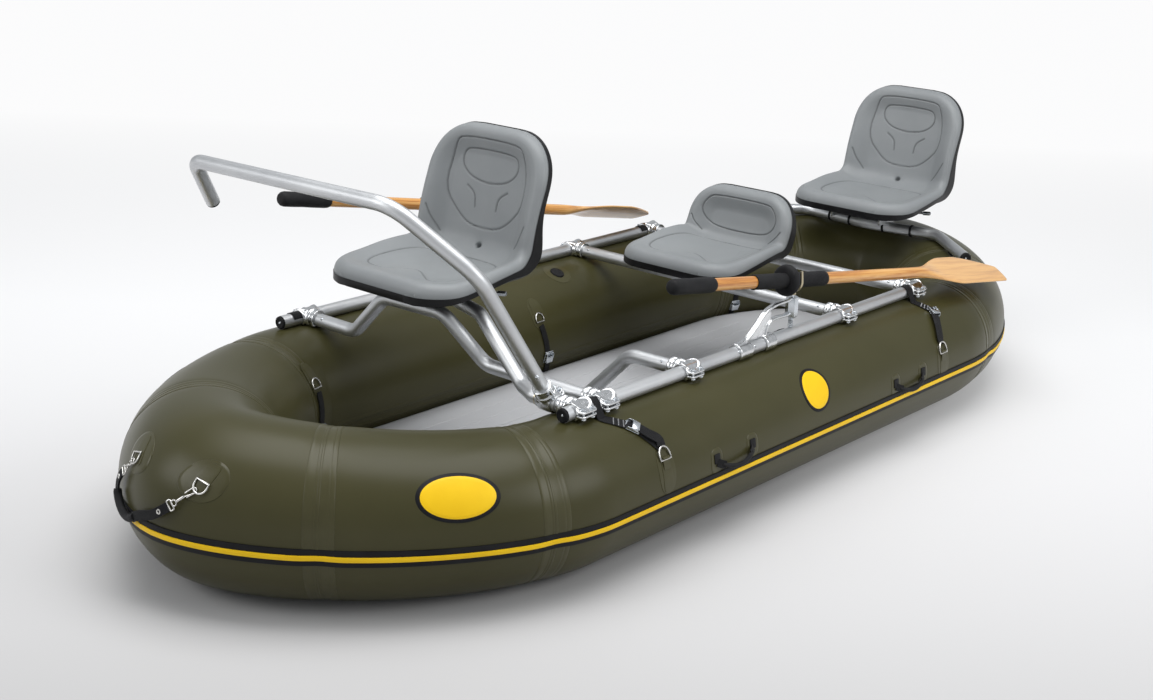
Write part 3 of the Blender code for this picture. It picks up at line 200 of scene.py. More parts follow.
# %% Finishes
def finish(name, dark, light, roughness, metallic=0.0, scale=4.0, fine=400.0, bump=0.15, depth=0.0004,
           rough_spread=0.1, specular=0.5, sheen=0.0):
    """A mottled material: two close colours, a fine bump and a change of gloss."""
    mat, tree, shader = new_material(name, Metallic=metallic, Specular_IOR_Level=specular, Sheen_Weight=sheen)
    place = add_node(tree, "ShaderNodeTexCoord")
    effect = add_node(tree, "ShaderNodeGroup", node_tree=MOTTLE)
    effect.inputs["Scale"].default_value = scale
    effect.inputs["Fine Scale"].default_value = fine
    effect.inputs["Dark"].default_value = (*dark, 1)
    effect.inputs["Light"].default_value = (*light, 1)
    gloss = add_node(tree, "ShaderNodeMapRange", i3=roughness - rough_spread / 2, i4=roughness + rough_spread / 2)
    relief = add_node(tree, "ShaderNodeBump", Strength=bump, Distance=depth)
    wire(tree, (place, "Object", effect, "Vector"), (effect, "Color", shader, "Base Color"),
         (effect, "Cloud", gloss, 0), (gloss, 0, shader, "Roughness"), (effect, "Height", relief, "Height"),
         (relief, "Normal", shader, "Normal"))
    return mat

# %% [markdown]
# The colours are darker than the eye guesses, because the studio's light is
# strong. Metals are fully metallic and get their look from roughness alone;
# cloth and rubber keep a low specular level.

# %% The raft's finishes
SKIN = finish("olive_coated_skin", (0.043, 0.040, 0.014), (0.052, 0.048, 0.018), 0.34, scale=2.2, fine=260.0,
              bump=0.12, depth=0.0006, rough_spread=0.08, specular=0.24)
SKIN_PATCH = finish("olive_patch", (0.049, 0.045, 0.017), (0.058, 0.054, 0.022), 0.30, scale=9.0, fine=300.0,
                    specular=0.30)
FLOOR_SKIN = finish("grey_floor_skin", (0.44, 0.445, 0.46), (0.49, 0.495, 0.51), 0.52, scale=3.0, fine=300.0)
STRAKE_BLACK = finish("strake_black", (0.006, 0.006, 0.007), (0.011, 0.011, 0.013), 0.50, scale=12.0, fine=500.0,
                      bump=0.3, specular=0.16)
STRAKE_YELLOW = finish("strake_yellow", (0.82, 0.50, 0.003), (0.88, 0.56, 0.006), 0.45, scale=8.0,
                       specular=0.25)
TUBE_METAL = finish("satin_tube", (0.55, 0.56, 0.575), (0.63, 0.64, 0.65), 0.46, metallic=1.0, scale=6.0,
                    fine=700.0, bump=0.10, depth=0.0002)
CAST_METAL = finish("tumbled_casting", (0.62, 0.63, 0.64), (0.78, 0.79, 0.80), 0.22, metallic=1.0, scale=60.0,
                    fine=900.0, bump=0.35, rough_spread=0.16)
ZINC = finish("zinc_plate", (0.55, 0.58, 0.61), (0.68, 0.71, 0.74), 0.26, metallic=1.0, scale=45.0, fine=900.0,
              bump=0.10, depth=0.0002)
NICKEL = finish("nickel_wire", (0.60, 0.585, 0.56), (0.70, 0.69, 0.665), 0.18, metallic=1.0, scale=40.0,
                fine=800.0, bump=0.08, depth=0.0001)
VINYL = finish("grey_seat_skin", (0.208, 0.220, 0.227), (0.232, 0.244, 0.250), 0.44, scale=5.0, fine=900.0,
               bump=0.35, depth=0.0003, specular=0.36)
MOULDED = finish("moulded_black", (0.006, 0.006, 0.007), (0.011, 0.011, 0.012), 0.40, scale=25.0, fine=900.0,
                 bump=0.3, depth=0.0003, specular=0.22)
RUBBER = finish("black_rubber", (0.007, 0.007, 0.008), (0.015, 0.015, 0.016), 0.60, scale=30.0, fine=900.0,
                bump=0.4, depth=0.0005, specular=0.18)
BRASS = finish("pale_bronze", (0.46, 0.40, 0.27), (0.58, 0.51, 0.36), 0.32, metallic=1.0, scale=50.0, fine=800.0,
               bump=0.2, depth=0.0003)
THREAD = finish("pale_thread", (0.42, 0.42, 0.43), (0.55, 0.55, 0.56), 0.7, scale=80.0, fine=900.0)

# %% [markdown]
# Two finishes need more than the recipe. The pressed lines in the vinyl get
# painted shade: the pad stores them on its points, and the finish darkens its
# colour there. Webbing shows its threads, which have to follow the strap's own map.

# %% Painted groove shade and webbing
def paint_crease_shade(mat, level=0.50):
    """Painted shade in pressed lines: lets a finish fall to a share of its colour where the piece's own groove_shade
    value is 1.
    """
    tree = mat.node_tree
    shader = tree.nodes["Principled BSDF"]
    effect = shader.inputs["Base Color"].links[0].from_node
    mark = add_node(tree, "ShaderNodeAttribute", attribute_name="groove_shade")
    fall = add_node(tree, "ShaderNodeMapRange", i3=1.0, i4=level)
    shade = add_node(tree, "ShaderNodeVectorMath", operation="SCALE")
    wire(tree, (mark, "Fac", fall, 0), (effect, "Color", shade, 0), (fall, 0, shade, "Scale"),
         (shade, 0, shader, "Base Color"))


# Painted shade in the seat pads' pressed lines.
paint_crease_shade(VINYL)


def webbing_material():
    """Black webbing: the weave group on the strip's own map."""
    mat = finish("black_webbing", (0.005, 0.005, 0.006), (0.011, 0.011, 0.012), 0.72, scale=40.0, fine=900.0,
                 sheen=0.05, specular=0.15)
    tree = mat.node_tree
    shader = tree.nodes["Principled BSDF"]
    own = add_node(tree, "ShaderNodeUVMap")
    weave = add_node(tree, "ShaderNodeGroup", node_tree=WEAVE)
    weave.inputs["Threads"].default_value = 180.0
    relief = add_node(tree, "ShaderNodeBump", Strength=0.6, Distance=0.0006)
    wire(tree, (own, "UV", weave, "Vector"), (weave, "Height", relief, "Height"), (relief, "Normal", shader, "Normal"))
    return mat


WEBBING = webbing_material()

# %% [markdown]
# Varnished wood has long grain lines and is paler on the blade. Noise that is
# stretched along one axis gives the lines. An image would need a map for
# each oar, and its grain would stop at the seam.

# %% Varnished wood
def grain_group():
    """Long grain along X: honey tones, paler where the Blade value is 1, with height and gloss."""
    tree, start, end = new_group(
        "wood_grain", [("Vector", "Vector", None), ("Blade", "Float", 0.0)],
        [("Color", "Color"), ("Height", "Float"), ("Gloss", "Float")])
    stretch = add_node(tree, "ShaderNodeMapping", Scale=(1.0, 26.0, 26.0))
    grain = add_node(tree, "ShaderNodeTexNoise", Scale=3.2, Detail=5.0, Roughness=0.6, Distortion=0.6)
    lines = add_node(tree, "ShaderNodeTexNoise", Scale=16.0, Detail=4.0, Roughness=0.7)
    both = add_node(tree, "ShaderNodeMath", operation="MULTIPLY_ADD", i1=0.35)
    level = add_node(tree, "ShaderNodeMapRange", i1=0.42, i2=0.92)
    tone = add_node(tree, "ShaderNodeValToRGB")
    ramp_stops(tone, (0.22, (0.40, 0.150, 0.028)), (0.42, (0.56, 0.240, 0.050)), (0.62, (0.66, 0.330, 0.085)),
               (0.82, (0.70, 0.390, 0.125)))
    pale = add_node(tree, "ShaderNodeMix", data_type="RGBA")
    pale.inputs[7].default_value = (0.78, 0.52, 0.25, 1)
    share = add_node(tree, "ShaderNodeMath", operation="MULTIPLY", i1=0.40)
    gloss = add_node(tree, "ShaderNodeMapRange", i3=0.28, i4=0.42)
    wire(tree, (start, "Vector", stretch, "Vector"), (stretch, "Vector", grain, "Vector"),
         (stretch, "Vector", lines, "Vector"), (lines, "Fac", both, 0), (grain, "Fac", both, 2), (both, 0, level, 0),
         (level, 0, tone, "Fac"), (start, "Blade", share, 0), (share, 0, pale, 0), (tone, "Color", pale, 6),
         (pale, 2, end, "Color"), (lines, "Fac", end, "Height"), (grain, "Fac", gloss, 0), (gloss, 0, end, "Gloss"))
    return tree


GRAIN = grain_group()


def wood_material(name, turn):
    """Varnished wood; turn lays the grain along the oar."""
    mat, tree, shader = new_material(name, Coat_Weight=0.5, Coat_Roughness=0.10)
    place = add_node(tree, "ShaderNodeTexCoord")
    lay = add_node(tree, "ShaderNodeMapping", Rotation=turn)
    where = add_node(tree, "ShaderNodeAttribute", attribute_name="blade")
    effect = add_node(tree, "ShaderNodeGroup", node_tree=GRAIN)
    relief = add_node(tree, "ShaderNodeBump", Strength=0.08, Distance=0.0004)
    wire(tree, (place, "Object", lay, "Vector"), (lay, "Vector", effect, "Vector"), (where, "Fac", effect, "Blade"),
         (effect, "Color", shader, "Base Color"), (effect, "Gloss", shader, "Roughness"),
         (effect, "Height", relief, "Height"), (relief, "Normal", shader, "Normal"))
    return mat


print("finishes:", len(bpy.data.materials))

# %% [markdown]
# Most pieces come from a few ways of making shapes: a loft through rings of
# points, a pipe along a bent line, a turned profile, a rounded slab and a
# flat strip. Each helper returns a plain mesh; `assemble` joins meshes into
# one finished piece, gives each its material and hangs it on its body.

# %% Shape helpers
def mesh_from(verts, faces, uvs=None):
    mesh = bpy.data.meshes.new("shape")
    mesh.from_pydata([tuple(v) for v in verts], [], faces)
    if uvs is not None:
        layer = mesh.uv_layers.new(name="UVMap")
        for loop in mesh.loops:
            layer.data[loop.index].uv = uvs[loop.vertex_index]
    return mesh


def from_bm(bm, matrix=None):
    if matrix is not None:
        bmesh.ops.transform(bm, matrix=matrix, verts=bm.verts)
    mesh = bpy.data.meshes.new("shape")
    bm.to_mesh(mesh)
    bm.free()
    return mesh


def loft(rings, closed=False, uvs=None):
    """Quads between rings of equal count; a loft that isn't closed gets caps."""
    count, spans = len(rings[0]), len(rings) - (not closed)
    faces = []
    for i in range(spans):
        a, b = i * count, (i + 1) % len(rings) * count
        for j in range(count):
            k = (j + 1) % count
            faces.append((a + j, a + k, b + k, b + j))
    if not closed:
        faces.append(tuple(range(count - 1, -1, -1)))
        faces.append(tuple(spans * count + j for j in range(count)))
    return mesh_from([p for ring in rings for p in ring], faces, uvs)


def rim_of(rows, cols):
    """The border of a grid of points, once round, as (row, column)."""
    rim = [(0, j) for j in range(cols - 1)] + [(i, cols - 1) for i in range(rows - 1)]
    return rim + [(rows - 1, j) for j in range(cols - 1, 0, -1)] + [(i, 0) for i in range(rows - 1, 0, -1)]


def closed_sheet(top, low, rows, cols):
    """A solid between two grids of rows by cols points, walled round the rim."""
    n, faces = rows * cols, []
    for i in range(rows - 1):
        for a in range(i * cols, i * cols + cols - 1):
            faces.append((a, a + 1, a + cols + 1, a + cols))
            faces.append((n + a, n + a + cols, n + a + cols + 1, n + a + 1))
    rim = [i * cols + j for i, j in rim_of(rows, cols)]
    faces += [(a, b, n + b, n + a) for a, b in zip(rim, rim[1:] + rim[:1])]
    return mesh_from([*top, *low], faces)


def round_angles(count):
    return [2 * pi * k / count for k in range(count)]

# %% [markdown]
# Turned profiles make bolts, plugs and caps; a bevelled box or a cut plate
# makes the flat parts. Every one of them is made where it is needed, at its
# final size, so no piece carries a scale.

# %% Turned shapes, bars and plates
def place_along(start, end):
    """Matrix whose Z runs from start towards end, with its origin at start."""
    start, end = Vector(start), Vector(end)
    turn = Vector((0, 0, 1)).rotation_difference((end - start).normalized())
    return moved(start) @ turn.to_matrix().to_4x4()


def turned(profile, matrix=None, sides=48, closed=False):
    """A lathe-turned shape: (radius, height) pairs spun round Z."""
    mesh = loft([[Vector((radius * cos(a), radius * sin(a), height)) for a in round_angles(sides)]
                 for radius, height in profile], closed=closed)
    if matrix is not None:
        mesh.transform(matrix)
    return mesh


def rod(start, end, radius, chamfer=0.0, sides=32):
    """A round bar with softened ends."""
    length = (Vector(end) - Vector(start)).length
    edge = max(chamfer, radius * 0.02)
    profile = [(radius - edge, 0), (radius - edge * 0.3, edge * 0.3), (radius, edge),
               (radius, length - edge), (radius - edge * 0.3, length - edge * 0.3), (radius - edge, length)]
    return turned(profile, place_along(start, end), sides)


def slab(size, matrix=None, bevel=0.001):
    bm = bmesh.new()
    bmesh.ops.create_cube(bm, size=1.0, matrix=Matrix.Diagonal((*size, 1.0)))
    if bevel:
        bmesh.ops.bevel(bm, geom=bm.edges[:], offset=bevel, segments=2, affect="EDGES", profile=0.5)
    return from_bm(bm, matrix)


def extruded(outline, thick, matrix=None, bevel=0.0008):
    """A plate cut to an outline of (x, y) points, centred on Z = 0."""
    bm = bmesh.new()
    face = bm.faces.new([bm.verts.new((x, y, -thick / 2)) for x, y in outline])
    top = bmesh.ops.extrude_face_region(bm, geom=[face])
    lifted = [v for v in top["geom"] if isinstance(v, bmesh.types.BMVert)]
    bmesh.ops.translate(bm, vec=(0, 0, thick), verts=lifted)
    bmesh.ops.recalc_face_normals(bm, faces=bm.faces)
    if bevel:
        rim = [e for e in bm.edges if len(e.link_faces) == 2 and e.calc_face_angle(0) > 0.9]
        bmesh.ops.bevel(bm, geom=rim, offset=bevel, segments=2, affect="EDGES", profile=0.5)
    return from_bm(bm, matrix)

# %% [markdown]
# Tubes follow bent lines. A curve object with a bevel would make them too,
# but a computed sweep keeps hold of the section and of its twist, and a
# ring can be closed on itself.

# %% Lines and tubes
def rounded(corners, radii, steps=12):
    """A line with its inner corners rounded to the given radii."""
    points = [Vector(corners[0])]
    for index in range(1, len(corners) - 1):
        corner = Vector(corners[index])
        back = (Vector(corners[index - 1]) - corner).normalized()
        ahead = (Vector(corners[index + 1]) - corner).normalized()
        radius = radii[index - 1] if isinstance(radii, (list, tuple)) else radii
        half = back.angle(ahead) / 2
        centre = corner + (back + ahead).normalized() * (radius / sin(half))
        first = corner + back * (radius / math.tan(half)) - centre
        sweep = pi - 2 * half
        axis = back.cross(ahead).normalized()
        for step in range(steps + 1):
            points.append(centre + Matrix.Rotation(-sweep * step / steps, 3, axis) @ first)
    points.append(Vector(corners[-1]))
    return points


def smooth_line(points, steps=8, closed=False):
    """A Catmull-Rom line through the points."""
    points = [Vector(p) for p in points]
    count = len(points)
    line = []
    for i in range(count if closed else count - 1):
        if closed:
            p = [points[(i + k) % count] for k in (-1, 0, 1, 2)]
        else:
            p = [points[min(max(i + k, 0), count - 1)] for k in (-1, 0, 1, 2)]
        for step in range(steps):
            t = step / steps
            line.append(0.5 * (2 * p[1] + (p[2] - p[0]) * t + (2 * p[0] - 5 * p[1] + 4 * p[2] - p[3]) * t * t
                               + (3 * p[1] - p[0] - 3 * p[2] + p[3]) * t ** 3))
    if not closed:
        line.append(points[-1])
    return line


def pipe(points, radius, sides=32, closed=False, factors=None):
    """A round tube along a line, with turned frames that don't twist."""
    points = [Vector(p) for p in points]
    count = len(points)
    tangents = []
    for i in range(count):
        a = points[(i - 1) % count] if closed else points[max(i - 1, 0)]
        b = points[(i + 1) % count] if closed else points[min(i + 1, count - 1)]
        tangents.append((b - a).normalized())
    normal = tangents[0].orthogonal().normalized()
    normals = [normal]
    for before, after in zip(tangents, tangents[1:]):
        normal = before.rotation_difference(after) @ normal
        normals.append((normal - after * normal.dot(after)).normalized())
    twist = 0.0
    if closed:
        last = tangents[-1].rotation_difference(tangents[0]) @ normals[-1]
        twist = math.atan2(tangents[0].dot(last.cross(normals[0])), last.dot(normals[0]))
    rings = []
    for i, (spot, tangent, normal) in enumerate(zip(points, tangents, normals)):
        side = tangent.cross(normal)
        r = radius * (factors[i] if factors else 1.0)
        ring = []
        for s in range(sides):
            a = 2 * pi * s / sides + twist * i / count
            ring.append(spot + (normal * cos(a) + side * sin(a)) * r)
        rings.append(ring)
    return loft(rings, closed=closed)

# %% [markdown]
# A strap is a flat strip with softened edges that lies on the skin, so each
# of its points has its own outward normal. Its map runs in metres, which
# keeps the threads the same size on every strap.

# %% Webbing
WEB_EDGE = 0.03


def webbing(points, normals, width, thick=0.0018):
    """Flat webbing along a line, each point with its outward normal; the map is in metres."""
    points = [Vector(p) for p in points]
    inner = 0.5 - WEB_EDGE
    across_shares = ((-0.5, 0), (-inner, 1), (0, 1), (inner, 1), (0.5, 0), (inner, -1), (0, -1), (-inner, -1))
    rings, uvs, travelled = [], [], 0.0
    for i, spot in enumerate(points):
        ahead = (points[min(i + 1, len(points) - 1)] - points[max(i - 1, 0)]).normalized()
        normal = Vector(normals[i])
        normal = (normal - ahead * normal.dot(ahead)).normalized()
        across = ahead.cross(normal)
        if i:
            travelled += (spot - points[i - 1]).length
        rings.append([spot + across * (share * width) + normal * (lift * thick / 2) for share, lift in across_shares])
        uvs += [(travelled, share * width + (0.03 if lift < 0 else 0.0)) for share, lift in across_shares]
    return loft(rings, uvs=uvs)

# %% [markdown]
# A casting has soft inner corners, so its overlapping shapes are melted by a
# voxel remesh and smoothed. Bores and slots are cut after that, because a
# machined edge stays crisp.

# %% Melting, cutting and copying
def cast_solid(meshes, voxel=0.0014, passes=4):
    """Melts overlapping shapes into one casting with soft inner corners."""
    bm = bmesh.new()
    for mesh in meshes:
        bm.from_mesh(mesh)
        bpy.data.meshes.remove(mesh)
    bmesh.ops.recalc_face_normals(bm, faces=bm.faces)
    obj = bpy.data.objects.new("melt", from_bm(bm))
    scene.collection.objects.link(obj)
    remesh = obj.modifiers.new("melt", "REMESH")
    remesh.mode = "VOXEL"
    remesh.voxel_size = voxel
    soften = obj.modifiers.new("soften", "SMOOTH")
    soften.iterations = passes
    soften.factor = 0.5
    return baked(obj)


def baked(obj):
    """The evaluated mesh of an object, which is then removed."""
    graph = bpy.context.evaluated_depsgraph_get()
    mesh = bpy.data.meshes.new_from_object(obj.evaluated_get(graph), preserve_all_data_layers=True, depsgraph=graph)
    bpy.data.objects.remove(obj, do_unlink=True)
    return mesh


def cut(meshes, cutters):
    """Boolean difference of joined shapes, for bores and slots."""
    def solid(parts, name):
        bm = bmesh.new()
        for part in parts:
            bm.from_mesh(part)
            bpy.data.meshes.remove(part)
        bmesh.ops.recalc_face_normals(bm, faces=bm.faces)
        obj = bpy.data.objects.new(name, from_bm(bm))
        scene.collection.objects.link(obj)
        return obj
    body = solid(meshes, "body")
    tool = solid(cutters, "tool")
    step = body.modifiers.new("cut", "BOOLEAN")
    step.operation = "DIFFERENCE"
    step.solver = "EXACT"
    step.use_self = True
    step.object = tool
    result = baked(body)
    bpy.data.objects.remove(tool, do_unlink=True)
    return result


def copied(mesh, matrix):
    twin = mesh.copy()
    twin.transform(matrix)
    if matrix.determinant() < 0:
        twin.flip_normals()
    return twin

# %% [markdown]
# One call finishes a piece: it joins the shapes, gives each its material and
# its sharp edges, and names the body that the piece rides on and the packed
# nodes that it stands for.

# %% One finished piece
def assemble(name, parts, body="raft", nodes=(), sharp=35, recalc=True):
    """Joins (mesh, material) pairs into one piece and hangs it on its body."""
    materials = []
    bm = bmesh.new()
    for mesh, mat in parts:
        if mat not in materials:
            materials.append(mat)
        start = len(bm.faces)
        bm.from_mesh(mesh)
        bm.faces.ensure_lookup_table()
        for face in bm.faces[start:]:
            face.material_index = materials.index(mat)
            face.smooth = True
        bpy.data.meshes.remove(mesh)
    if recalc:
        bmesh.ops.recalc_face_normals(bm, faces=bm.faces)
    data = from_bm(bm)
    data.name = name
    for mat in materials:
        data.materials.append(mat)
    data.shade_smooth()
    data.set_sharp_from_angle(angle=radians(sharp))
    obj = bpy.data.objects.new(name, data)
    scene.collection.objects.link(obj)
    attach(obj, body)
    if nodes:
        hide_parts(*nodes)
    print(name, len(data.polygons), "faces")
    return obj

# %% [markdown]
# Some things repeat along a path: ribs on a sleeve, stitches across a strap,
# welds along the floor, the turns of a spring. A Geometry Nodes tree sets
# them out, so a new length or spacing needs no new modelling. An array
# modifier can't follow a bent strap, and copies by hand would not keep an
# even spacing. The result is kept as a plain mesh.

# %% Things that repeat along a path
def node_tree(name, sockets):
    """A geometry tree with named inputs; returns it and its two ends."""
    return new_group(name, [("Geometry", "Geometry", None)] + sockets, [("Geometry", "Geometry")], "Geometry")


def row_tree():
    """Copies of an item along a line, each turned to the line and its own upward side."""
    tree, start, end = node_tree("row_along_path", [
        ("Spacing", "Float", 0.01), ("Item", "Object", None),
        ("Up", "Vector", (0, 0, 1)), ("Jitter", "Float", 0.0), ("Seed", "Int", 1),
        ("Material", "Material", None)])
    curve = tree.nodes.new("GeometryNodeMeshToCurve")
    points = add_node(tree, "GeometryNodeCurveToPoints", mode="LENGTH")
    wander = add_node(tree, "FunctionNodeRandomValue", data_type="FLOAT_VECTOR")
    wander.inputs[0].default_value, wander.inputs[1].default_value = (-1, -1, -1), (1, 1, 1)
    small = add_node(tree, "ShaderNodeVectorMath", operation="SCALE")
    shift = tree.nodes.new("GeometryNodeSetPosition")
    upright = add_node(tree, "FunctionNodeAlignRotationToVector", axis="Z")
    facing = add_node(tree, "FunctionNodeAlignRotationToVector", axis="X", pivot_axis="Z")
    item = tree.nodes.new("GeometryNodeObjectInfo")
    place = tree.nodes.new("GeometryNodeInstanceOnPoints")
    real = tree.nodes.new("GeometryNodeRealizeInstances")
    paint = tree.nodes.new("GeometryNodeSetMaterial")
    wire(tree, (start, "Geometry", curve, "Mesh"), (curve, "Curve", points, "Curve"),
         (start, "Spacing", points, "Length"), (points, "Points", shift, "Geometry"), (start, "Seed", wander, "Seed"),
         (wander, 0, small, 0), (start, "Jitter", small, "Scale"), (small, 0, shift, "Offset"),
         (start, "Up", upright, "Vector"), (upright, 0, facing, "Rotation"), (points, "Tangent", facing, "Vector"),
         (start, "Item", item, "Object"), (shift, "Geometry", place, "Points"), (item, "Geometry", place, "Instance"),
         (facing, 0, place, "Rotation"), (place, "Instances", real, "Geometry"),
         (real, "Geometry", paint, "Geometry"), (start, "Material", paint, "Material"),
         (paint, "Geometry", end, "Geometry"))
    return tree

# %% [markdown]
# A spring is a spiral with a round wire. The spiral node knows turns, radius
# and height, so the coil is set by the three numbers a maker would give.

# %% Springs, and how a tree is run
def coil_tree():
    """A spring: a round wire carried along a spiral."""
    tree, start, end = node_tree("coil", [
        ("Turns", "Float", 8.0), ("Radius", "Float", 0.0068), ("Height", "Float", 0.03),
        ("Wire", "Float", 0.001), ("Material", "Material", None)])
    spiral = tree.nodes.new("GeometryNodeCurveSpiral")
    spiral.inputs["Resolution"].default_value = 16
    section = tree.nodes.new("GeometryNodeCurvePrimitiveCircle")
    section.inputs["Resolution"].default_value = 8
    sweep = tree.nodes.new("GeometryNodeCurveToMesh")
    sweep.inputs["Fill Caps"].default_value = True
    real = tree.nodes.new("GeometryNodeRealizeInstances")
    paint = tree.nodes.new("GeometryNodeSetMaterial")
    wire(tree, (start, "Turns", spiral, "Rotations"), (start, "Radius", spiral, "Start Radius"),
         (start, "Radius", spiral, "End Radius"), (start, "Height", spiral, "Height"),
         (start, "Wire", section, "Radius"), (spiral, "Curve", sweep, "Curve"),
         (section, "Curve", sweep, "Profile Curve"), (sweep, "Mesh", real, "Geometry"),
         (real, "Geometry", paint, "Geometry"), (start, "Material", paint, "Material"),
         (paint, "Geometry", end, "Geometry"))
    return tree


ROW, COIL = row_tree(), coil_tree()


def grown(tree, mesh, **values):
    """What a tree makes of a mesh, as a plain mesh."""
    obj = bpy.data.objects.new("grown", mesh)
    scene.collection.objects.link(obj)
    step = obj.modifiers.new("grow", "NODES")
    step.node_group = tree
    for socket in tree.interface.items_tree:
        if socket.in_out == "INPUT" and socket.name in values:
            step[socket.identifier] = values[socket.name]
    return baked(obj)


def row(points, item, spacing, mat, up=(0, 0, 1), jitter=0.0, seed=1):
    """Copies of an item mesh along a line; the item's X lies along it and its Z points up."""
    line = mesh_from(points, [])
    line.edges.add(len(points) - 1)
    line.edges.foreach_set("vertices", [k for i in range(len(points) - 1) for k in (i, i + 1)])
    line.update()
    sample = bpy.data.objects.new("item", item)
    scene.collection.objects.link(sample)
    result = grown(ROW, line, Spacing=spacing, Item=sample, Up=tuple(up), Jitter=jitter, Seed=seed, Material=mat)
    bpy.data.objects.remove(sample, do_unlink=True)
    bpy.data.meshes.remove(item)
    return result, mat


print("geometry trees:", ROW.name, COIL.name)

# %% [markdown]
# The air tube is one round section carried along a line: straight sides and
# two rounded ends that narrow to a blunt nose. The line is a superellipse,
# so one power sets how square the shoulders are. Every fitting on the skin
# is placed by its distance along that line and its angle above the equator.

# %% The air tube's line
HALF_BEAM = 0.513
TUBE_R = 0.1915
FLAT_SHARE = cos(pi / 32)
NOSE_SWELL, TAIL_SWELL = 0.12, 0.09
BOW_START, BOW_REACH, BOW_POWER = 0.907, 0.613, 1.57
STERN_START, STERN_REACH, STERN_POWER = -0.857, 0.668, 1.82


def side_point(x):
    """Centre and radius of the tube's port side at a station along X."""
    if x > BOW_START:
        part = min((x - BOW_START) / BOW_REACH, 1.0)
        y = HALF_BEAM * (1.0 - part ** BOW_POWER) ** (1.0 / BOW_POWER)
        radius = TUBE_R * (1.0 + NOSE_SWELL * part * part)
    elif x < STERN_START:
        part = min((STERN_START - x) / STERN_REACH, 1.0)
        y = HALF_BEAM * (1.0 - part ** STERN_POWER) ** (1.0 / STERN_POWER)
        radius = TUBE_R * (1.0 + TAIL_SWELL * part * part)
    else:
        y, radius = HALF_BEAM, TUBE_R
    return x, y, radius


def dense_line():
    """Points of the port side from the bow's tip to the stern's, with distance run."""
    xs = []
    for step in range(600):
        angle = pi / 2 * (1 - step / 600)
        xs.append(BOW_START + BOW_REACH * sin(angle) ** (2.0 / BOW_POWER))
    xs += list(np.linspace(BOW_START, STERN_START, 300))[:-1]
    for step in range(601):
        angle = pi / 2 * step / 600
        xs.append(STERN_START - STERN_REACH * sin(angle) ** (2.0 / STERN_POWER))
    table = np.array([side_point(x) for x in xs])
    steps = np.hypot(np.diff(table[:, 0]), np.diff(table[:, 1]))
    return np.concatenate([[0.0], np.cumsum(steps)]), table


RUN, LINE = dense_line()
HALF_RUN = RUN[-1]


def run_at(x, side=1):
    """Signed distance along the line from the bow's tip; port is positive."""
    return side * float(np.interp(-x, -LINE[:, 0], RUN))


def line_point(at):
    """Point of the line at a distance from the bow's tip, or a little past either tip."""
    fold = 2 * HALF_RUN - at if at >= HALF_RUN else abs(at)
    x, y = (float(np.interp(fold, RUN, LINE[:, k])) for k in range(2))
    return x, (y if 0 <= at < HALF_RUN else -y)


def tube_frame(s):
    """Centre, outward direction and radius at a distance along the line."""
    s = (s + HALF_RUN) % (2 * HALF_RUN) - HALF_RUN
    side, at, step = (1 if s >= 0 else -1), abs(s), 0.004
    x, y, r = (float(np.interp(at, RUN, LINE[:, k])) for k in range(3))
    (xb, yb), (xa, ya) = line_point(at - step), line_point(at + step)
    along = Vector((xa - xb, ya - yb, 0)).normalized()
    out = Vector((along.y, -along.x, 0))
    if out.dot(Vector((x, y, 0))) < 0:
        out = -out
    return Vector((x, side * y, r * FLAT_SHARE)), Vector((out.x, side * out.y, 0)), r

# %% [markdown]
# A fitting needs a point on the skin, the direction away from it and a frame
# that lies on it. All three come from the line's own frame, so a change of
# the tube moves every patch, strap and ring with it.

# %% Places on the skin
def skin(s, degrees, lift=0.0):
    """A point on the skin, or off it by a lift."""
    centre, out, radius = tube_frame(s)
    angle = radians(degrees)
    reach = radius + lift
    return centre + out * (reach * cos(angle)) + Vector((0, 0, reach * sin(angle)))


def skin_normal(s, degrees):
    out = tube_frame(s)[1]
    angle = radians(degrees)
    return out * cos(angle) + Vector((0, 0, sin(angle)))


def skin_matrix(s, degrees, lift=0.0, spin=0.0):
    """A frame on the skin: X along the line, Y up round the tube, Z out."""
    normal = skin_normal(s, degrees)
    along = (skin(s + 0.002, degrees) - skin(s - 0.002, degrees)).normalized()
    up = normal.cross(along).normalized()
    along = up.cross(normal)
    turn = Matrix((along, up, normal)).transposed().to_4x4()
    return moved(skin(s, degrees, lift)) @ turn @ spun(radians(spin), "Z")


print("half the tube's line:", round(HALF_RUN, 3), "m")

# %% [markdown]
# Where the straight panels meet the nose panels, the real skin has a mitre:
# the tube pinches a little at the seam and tapes lie over it. The pinch is a
# small, narrow loss of radius at each seam's place along the line, so it
# can't come from a bump: the outline shows it.

# %% Skin
SKIN_AROUND, SKIN_STEP = 96, 0.0095
SEAM_RUNS = (run_at(1.398), run_at(1.02), run_at(-0.98), run_at(-1.33))
SEAM_PINCH = 0.0045
SEAM_SPAN = 0.026


def pinch(s):
    return sum(SEAM_PINCH * math.exp(-((abs(s) - seam) / SEAM_SPAN) ** 2) for seam in SEAM_RUNS)


def air_skin():
    rings = []
    for s in np.arange(-HALF_RUN, HALF_RUN, SKIN_STEP):
        centre, out, radius = tube_frame(s)
        radius -= pinch(s)
        rings.append([centre + out * (radius * cos(a)) + Vector((0, 0, radius * sin(a)))
                      for a in (2 * pi * (k + 0.5) / SKIN_AROUND for k in range(SKIN_AROUND))])
    for ring in rings:
        for point in ring:
            point.z = max(point.z, 0.0)
    return assemble("air_tube_skin", [(loft(rings, closed=True), SKIN)], sharp=60,
                    nodes=("bow_cell", "stern_cell", "port_cell", "starboard_cell"))


air_skin()

# %% [markdown]
# Seam tapes are thin strips glued over the joints, three layers from wide to
# narrow. Each is a grid laid on the skin with its edges pressed down, so the
# light catches fine lines. A texture could draw them, but not their edges.

